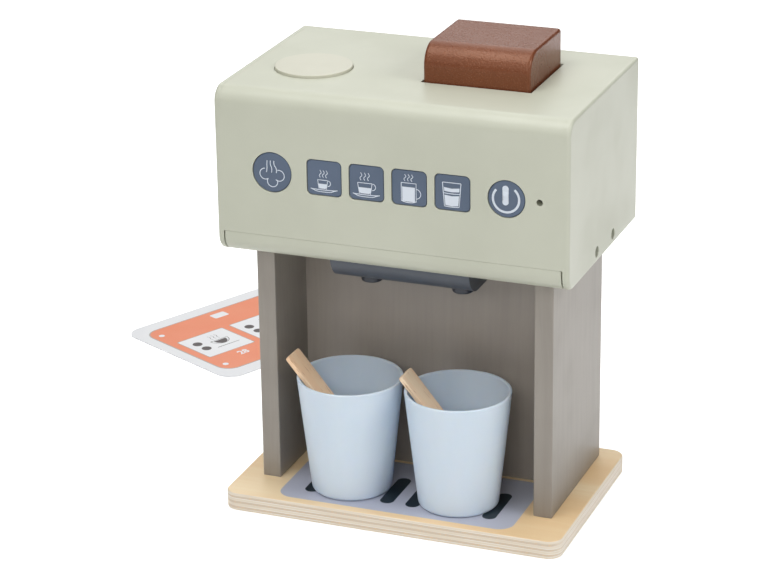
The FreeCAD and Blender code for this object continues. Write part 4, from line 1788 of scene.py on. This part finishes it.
@dataclass
class TopPieces:
    """The round button, its spring and the bean hopper on the top."""

    button_edge: float = 0.5 * MM
    button_travel: float = 1.8 * MM
    wire_radius: float = 0.42 * MM
    wire_sides: int = 12
    coil_turns: int = 3
    coil_steps: int = 48
    hopper_radius: float = 13.5 * MM
    hopper_edge: float = 2.2 * MM

    def build(self) -> None:
        """Build and dress the three pieces."""
        self.button()
        self.spring()
        self.hopper()

    def button(self) -> None:
        """The round button's cap."""
        low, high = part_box("top_button")
        radius = (high.x - low.x) / 2
        slices = [(low.z, 0.0)] + round_shoulder(high.z, self.button_edge, steps=6)
        cap = stack(round_outline(radius, steps=128), (radius, radius), slices)
        piece = as_object(placed(cap, ((low + high) / 2).xy.to_3d()), "top_button_cap")
        polish(piece)
        settle(piece, "top_button", [Palette.cream], ["top_button"])

    def spring(self) -> None:
        """The round button's coil spring, built at its full length."""
        low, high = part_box("top_button_spring")
        foot = Vector(((low.x + high.x) / 2, (low.y + high.y) / 2, low.z))
        start = Vector(((high.x - low.x) / 2 - self.wire_radius, 0.0, self.wire_radius))
        steps = self.coil_turns * self.coil_steps
        climb = (high.z - low.z - 2 * self.wire_radius) / steps
        shape = bmesh.new()
        bmesh.ops.create_circle(
            shape, segments=self.wire_sides, radius=self.wire_radius,
            matrix=Matrix.Translation(start) @ Matrix.Rotation(math.pi / 2, 4, "X"),
        )
        bmesh.ops.spin(
            shape, geom=shape.verts[:] + shape.edges[:], axis=(0, 0, 1), cent=(0, 0, 0),
            dvec=(0, 0, climb), angle=2 * math.pi * self.coil_turns, steps=steps,
        )
        ends = [edge for edge in shape.edges if edge.is_boundary]
        bmesh.ops.holes_fill(shape, edges=ends, sides=self.wire_sides)
        bmesh.ops.recalc_face_normals(shape, faces=shape.faces)
        piece = as_object(placed(shape, foot), "top_button_coil")
        polish(piece)
        settle(piece, MACHINE, [Palette.spring], ["top_button_spring"])
        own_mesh(piece)

    def hopper(self) -> None:
        """The hopper block, round along its upper front edge."""
        low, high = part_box("hopper_block")
        shape = board(low, high)
        round_over(shape, edges_along(shape, 0, {1: low.y, 2: high.z}), self.hopper_radius, BROAD_STEPS)
        ends = [
            edge
            for side in (low.x, high.x)
            for edge in edges_in_plane(shape, 0, side)
            if max(v.co.z for v in edge.verts) > low.z + MM
        ]
        ends += edges_along(shape, 0, {1: high.y, 2: high.z})
        round_over(shape, ends, self.hopper_edge, segments=5)
        piece = as_object(shape, "bean_hopper_block")
        polish(piece)
        settle(piece, "hopper", [Palette.brown], ["hopper_block"])


@dataclass
class Spout:
    """The bar under the housing and its two nozzles."""

    front_radius: float = 16.6 * MM
    end_edge: float = 1.0 * MM
    nozzle_edge: float = 1.2 * MM

    def build(self) -> None:
        """Build and dress the bar and the nozzles."""
        low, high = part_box("spout_bar")
        shape = board(low, high)
        round_over(shape, edges_along(shape, 0, {1: low.y, 2: low.z}), self.front_radius, BROAD_STEPS)
        ends = [
            edge
            for side in (low.x, high.x)
            for edge in edges_in_plane(shape, 0, side)
            if min(v.co.z for v in edge.verts) < high.z - MM
        ]
        round_over(shape, ends, self.end_edge, segments=4)
        bar = as_object(shape, "spout_bar_painted")
        polish(bar)
        settle(bar, MACHINE, [Palette.slate], ["spout_bar"])
        for node in ("left_nozzle", "right_nozzle"):
            low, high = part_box(node)
            radius = (high.x - low.x) / 2
            tip = round_shoulder(-low.z, self.nozzle_edge, steps=5)
            slices = [(high.z, 0.0)] + [(-height, growth) for height, growth in tip]
            plug = stack(round_outline(radius, steps=64), (radius, radius), slices)
            nozzle = as_object(placed(plug, ((low + high) / 2).xy.to_3d()), node + "_turned")
            polish(nozzle)
            settle(nozzle, MACHINE, [Palette.dark], [node])


@dataclass
class Cups:
    """The two tapered cups."""

    base_radius: float = 25.2 * MM
    wall: float = 2.0 * MM
    floor: float = 2.5 * MM
    foot_round: float = 2.2 * MM
    inner_round: float = 4.0 * MM
    hollow: float = 0.8 * MM
    foot_width: float = 4.0 * MM
    steps: int = 144

    def build(self) -> None:
        """Build and dress both cups."""
        for node in ("left_cup", "right_cup"):
            low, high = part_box(node)
            centre = ((low.x + high.x) / 2, (low.y + high.y) / 2, low.z)
            shape = self.shape((high.x - low.x) / 2, high.z - low.z)
            piece = as_object(placed(shape, centre), node + "_moulded")
            polish(piece)
            settle(piece, node, [Palette.cup], [node])

    def shape(self, rim_radius: float, height: float) -> bmesh.types.BMesh:
        """Turn one cup, standing on the origin.

        Args:
            rim_radius: The radius at its rim.
            height: Its height.

        Returns:
            The cup.
        """
        taper = (rim_radius - self.base_radius) / height
        across = self.wall * math.hypot(1.0, taper)
        hollow_radius = self.base_radius - self.foot_width
        inner_foot = self.base_radius + taper * self.floor - across
        inner_rim = rim_radius - across
        profile = [
            (0.0, self.hollow), (hollow_radius, self.hollow), (hollow_radius, 0.0), (self.base_radius, 0.0),
            (rim_radius, height), (inner_rim, height), (inner_foot, self.floor), (0.0, self.floor),
        ]
        rounds = [
            ((self.base_radius, 0.0), self.foot_round), ((inner_foot, self.floor), self.inner_round),
            ((rim_radius, height), self.wall * 0.46), ((inner_rim, height), self.wall * 0.46),
        ]
        return lathe(profile, rounds, self.steps)


@dataclass
class Stirrers:
    """The two wooden stirrers, leaning in the cups."""

    length: float = 87 * MM
    width: float = 16.5 * MM
    thickness: float = 3.0 * MM
    corner: float = 1.8 * MM
    edge: float = 0.5 * MM
    lean: float = STIRRER_LEAN

    def build(self) -> None:
        """Build and dress both stirrers."""
        for node in ("left_stirrer", "right_stirrer"):
            low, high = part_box(node)
            half = Vector((self.thickness, self.width, self.length)) / 2
            shape = board(-half, half)
            round_over(shape, edges_along(shape, 0), self.corner, segments=8)
            rims = edges_in_plane(shape, 0, -half.x) + edges_in_plane(shape, 0, half.x)
            round_over(shape, rims, self.edge, segments=3)
            leaning = Matrix.Rotation(-self.lean, 4, "Y")
            piece = as_object(placed(shape, (low + high) / 2, leaning), node + "_stick")
            polish(piece)
            settle(piece, node, [Palette.stirrer], [node])


@dataclass
class OrderCard:
    """The coated order card with its plain printed menu; its lengths are in millimetres."""

    half: Point = (85.0, 60.0)
    corner: float = 12.5
    edge: float = 0.15
    field_half: Point = (76.0, 47.5)
    field_corner: float = 10.5
    rule_width: float = 0.9
    panel_half: Point = (20.5, 18.5)
    panel_corner: float = 1.0
    panel_level: float = -1.0
    outline_width: float = 0.6
    panel_places: tuple[float, ...] = (-48.5, 0.0, 48.5)
    numbers: tuple[str, ...] = ("28", "40", "52")
    number_size: float = 8.5
    dot_radius: float = 2.2
    turn: float = math.radians(90 - 26.5)

    def build(self) -> None:
        """Lay the card and its print, one thin film over another."""
        low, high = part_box("order_card")
        centre = Vector(((low.x + high.x) / 2, (low.y + high.y) / 2, low.z))
        half = (self.half[0] * MM, self.half[1] * MM)
        thickness = high.z - low.z
        slices = [(0.0, 0.0)] + round_shoulder(thickness, self.edge * MM, steps=2)
        shape = stack(plate_outline(half[0], half[1], self.corner * MM, steps=12), half, slices)
        turned = Matrix.Rotation(self.turn, 4, "Z")
        stock = as_object(placed(shape, centre, turned), "order_card_stock")
        polish(stock)
        settle(stock, "order_card", [Palette.card], ["order_card"])
        films = (
            ("order_card_rule", self.rule, Palette.card_rule, 0.02),
            ("order_card_field", self.colour_field, Palette.card_field, 0.03),
            ("order_card_outlines", self.outlines, Palette.card_rule, 0.035),
            ("order_card_panels", self.panels, Palette.card_white, 0.04),
            ("order_card_signs", self.pictures, Palette.card_dark, 0.05),
        )
        surface = centre + Vector((0, 0, thickness))
        for name, draw, finish, film in films:
            pen = Pen(film)
            draw(pen)
            settle(pen.lay(name, surface, turned), "order_card", [finish])

    def rule(self, pen: Pen) -> None:
        """The thin grey rule round the coloured field.

        Args:
            pen: The pen to draw with.
        """
        rim = self.rule_width
        half = (self.field_half[0] + rim, self.field_half[1] + rim)
        pen.plate((0.0, 0.0), half, self.field_corner + rim)

    def colour_field(self, pen: Pen) -> None:
        """The coloured field."""
        pen.plate((0.0, 0.0), self.field_half, self.field_corner)

    def panels(self, pen: Pen) -> None:
        """The white panels, the title's bar, the corner dots and the plain numbers.

        Args:
            pen: The pen to draw with.
        """
        for x, number in zip(self.panel_places, self.numbers):
            pen.plate((x, self.panel_level), self.panel_half, self.panel_corner)
            pen.digits(number, (x + 3.0, -28.5), self.number_size)
        pen.plate((-13.0, 38.5), (6.5, 4.0), 1.4)
        for x in (-69.0, 69.0):
            for y in (-37.0, 36.0):
                pen.disc((x, y), self.dot_radius)

    def outlines(self, pen: Pen) -> None:
        """A thin rule round each white panel.

        Args:
            pen: The pen to draw with.
        """
        rim = self.outline_width
        half = (self.panel_half[0] + rim, self.panel_half[1] + rim)
        for x in self.panel_places:
            pen.plate((x, self.panel_level), half, 1.4)

    def pictures(self, pen: Pen) -> None:
        """Two round biscuits beside a bowl on its mat, in each panel.

        Args:
            pen: The pen to draw with.
        """
        for x in self.panel_places:
            for y in (5.2, -5.2):
                pen.disc((x - 12.0, y), 3.6)
            middle = x + 5.0
            pen.stroke([(x - 2.6, 2.0), (x + 12.6, 2.0)], 1.0, soft=False)
            pen.stroke(arc((middle, 2.0), 7.6, 180, 360, steps=16), 1.0)
            inside = arc((middle, 2.0), 6.4, 180, 360, steps=16)
            pen.area([(across + 0.16 * (middle - across), up - 1.0) for across, up in inside])
            pen.stroke([(x - 5.0, -9.5), (x + 15.0, -9.5)], 1.2, soft=False)
            for foot in (x + 2.0, middle, x + 8.0):
                pen.stroke(steam((foot, 4.5), 7.0, 0.8), 0.7)


@dataclass
class Fasteners:
    """The screws whose heads show: under the base, in the sides and at the back."""

    long_head: float = 4.0 * MM
    long_shank: float = 2.0 * MM
    long_length: float = 32 * MM
    short_head: float = 3.2 * MM
    short_shank: float = 1.6 * MM
    short_length: float = 20 * MM
    tip: float = 0.2 * MM
    head_edge: float = 0.1 * MM
    recess_arm: float = 0.58
    recess_bar: float = 0.13
    recess_depth: float = 0.55

    def build(self, stand: Stand, housing: Housing) -> None:
        """Build and dress each group of screws.

        Args:
            stand: Gives the places of the screws in the base.
            housing: Gives the places of the screws in the sides and the back.
        """
        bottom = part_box("base_board")[0].z
        long_sizes = (self.long_head, self.long_shank, self.long_length)
        short_sizes = (self.short_head, self.short_shank, self.short_length)
        base = [self.screw(long_sizes, (x, y, bottom), FACING_DOWN) for x, y in stand.screw_places()]
        self.lay(base, "base_screw_set", "base_screws", Palette.steel)
        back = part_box("housing_rear_panel")[1].y
        rear = [self.screw(short_sizes, (x, back, z), FACING_BACK) for x, z in housing.rear_screw_places()]
        self.lay(rear, "rear_screw_set", "rear_screws", Palette.steel)
        sides = []
        for node, facing, outwards in (
            ("housing_left_side", FACING_LEFT, -1), ("housing_right_side", FACING_RIGHT, 1)
        ):
            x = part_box(node)[0].x if outwards < 0 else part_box(node)[1].x
            for y, z in housing.side_screw_places():
                sides.append(self.screw(short_sizes, (x - outwards * housing.screw_sunk, y, z), facing))
        # The sunk side screws take the darker steel, painted shade.
        self.lay(sides, "side_screw_set", "side_screws", Palette.shaded_sunk_steel)

    def screw(
        self, sizes: tuple[float, float, float], head: Sequence[float], facing: Matrix
    ) -> bmesh.types.BMesh:
        """A countersunk screw with a cross recess, its head flush at a point.

        Args:
            sizes: The head's radius, the shank's radius and the length.
            head: The middle of the head.
            facing: Which way the head looks.

        Returns:
            The screw in place.
        """
        radius, shank, length = sizes
        slices = [
            (-length, -radius + self.tip), (-length + 2 * shank, shank - radius),
            (shank - radius, shank - radius), (-1.5 * self.head_edge, 0.0), (0.0, -self.head_edge),
        ]
        body = as_object(stack(round_outline(radius, steps=32), (radius, radius), slices), "screw")
        arm, bar = radius * self.recess_arm, radius * self.recess_bar
        for half in ((arm, bar), (bar, arm)):
            walls = [(-radius * self.recess_depth, -0.5 * min(half)), (0.2 * MM, 0.0)]
            carve(body, [stack(plate_outline(half[0], half[1], 0.0), half, walls)])
        shape = bmesh.new()
        shape.from_mesh(body.data)
        bpy.data.objects.remove(body)
        return placed(shape, head, facing)

    def lay(self, screws: list[bmesh.types.BMesh], name: str, node: str, finish: Finish) -> None:
        """Join a group of screws and put it in its node's place.

        Args:
            screws: The screws in place.
            name: The piece's name.
            node: The construction node that it replaces.
            finish: Its finish.
        """
        piece = as_object(joined(screws), name)
        polish(piece, sharp_angle=28.0)
        settle(piece, MACHINE, [finish], [node])


class Inside:
    """The construction nodes that keep their own shape and only get a finish."""

    finishes: ClassVar[dict[str, Finish]] = {
        "front_panel_dowels": Palette.beech,
        "leg_top_screws": Palette.steel,
        "spout_screws": Palette.steel,
        "button_foam_pads": Palette.foam,
        "button_backing_board": Palette.raw_board,
        "top_button_retainer": Palette.raw_board,
        "top_button_bridge": Palette.raw_board,
        "hopper_well_frame": Palette.raw_board,
        "hopper_well_floor": Palette.raw_board,
    }

    def build(self) -> None:
        """Dress each inner node."""
        finishes = dict(self.finishes)
        for button in FrontButtons.names():
            finishes[button + "_retainer"] = Palette.raw_board
        for name, finish in finishes.items():
            dress(name, finish)


def main() -> None:
    """Build the whole scene in order."""
    logging.basicConfig(level=logging.INFO, format="%(name)s: %(message)s")
    bpy.context.scene.view_settings.view_transform = "Standard"
    Camera().build()
    Studio().build()
    stand = Stand()
    housing = Housing()
    stand.build()
    housing.build()
    FrontButtons().build()
    TopPieces().build()
    Spout().build()
    Cups().build()
    Stirrers().build()
    OrderCard().build()
    Fasteners().build(stand, housing)
    Inside().build()


if __name__ == "__main__":
    main()
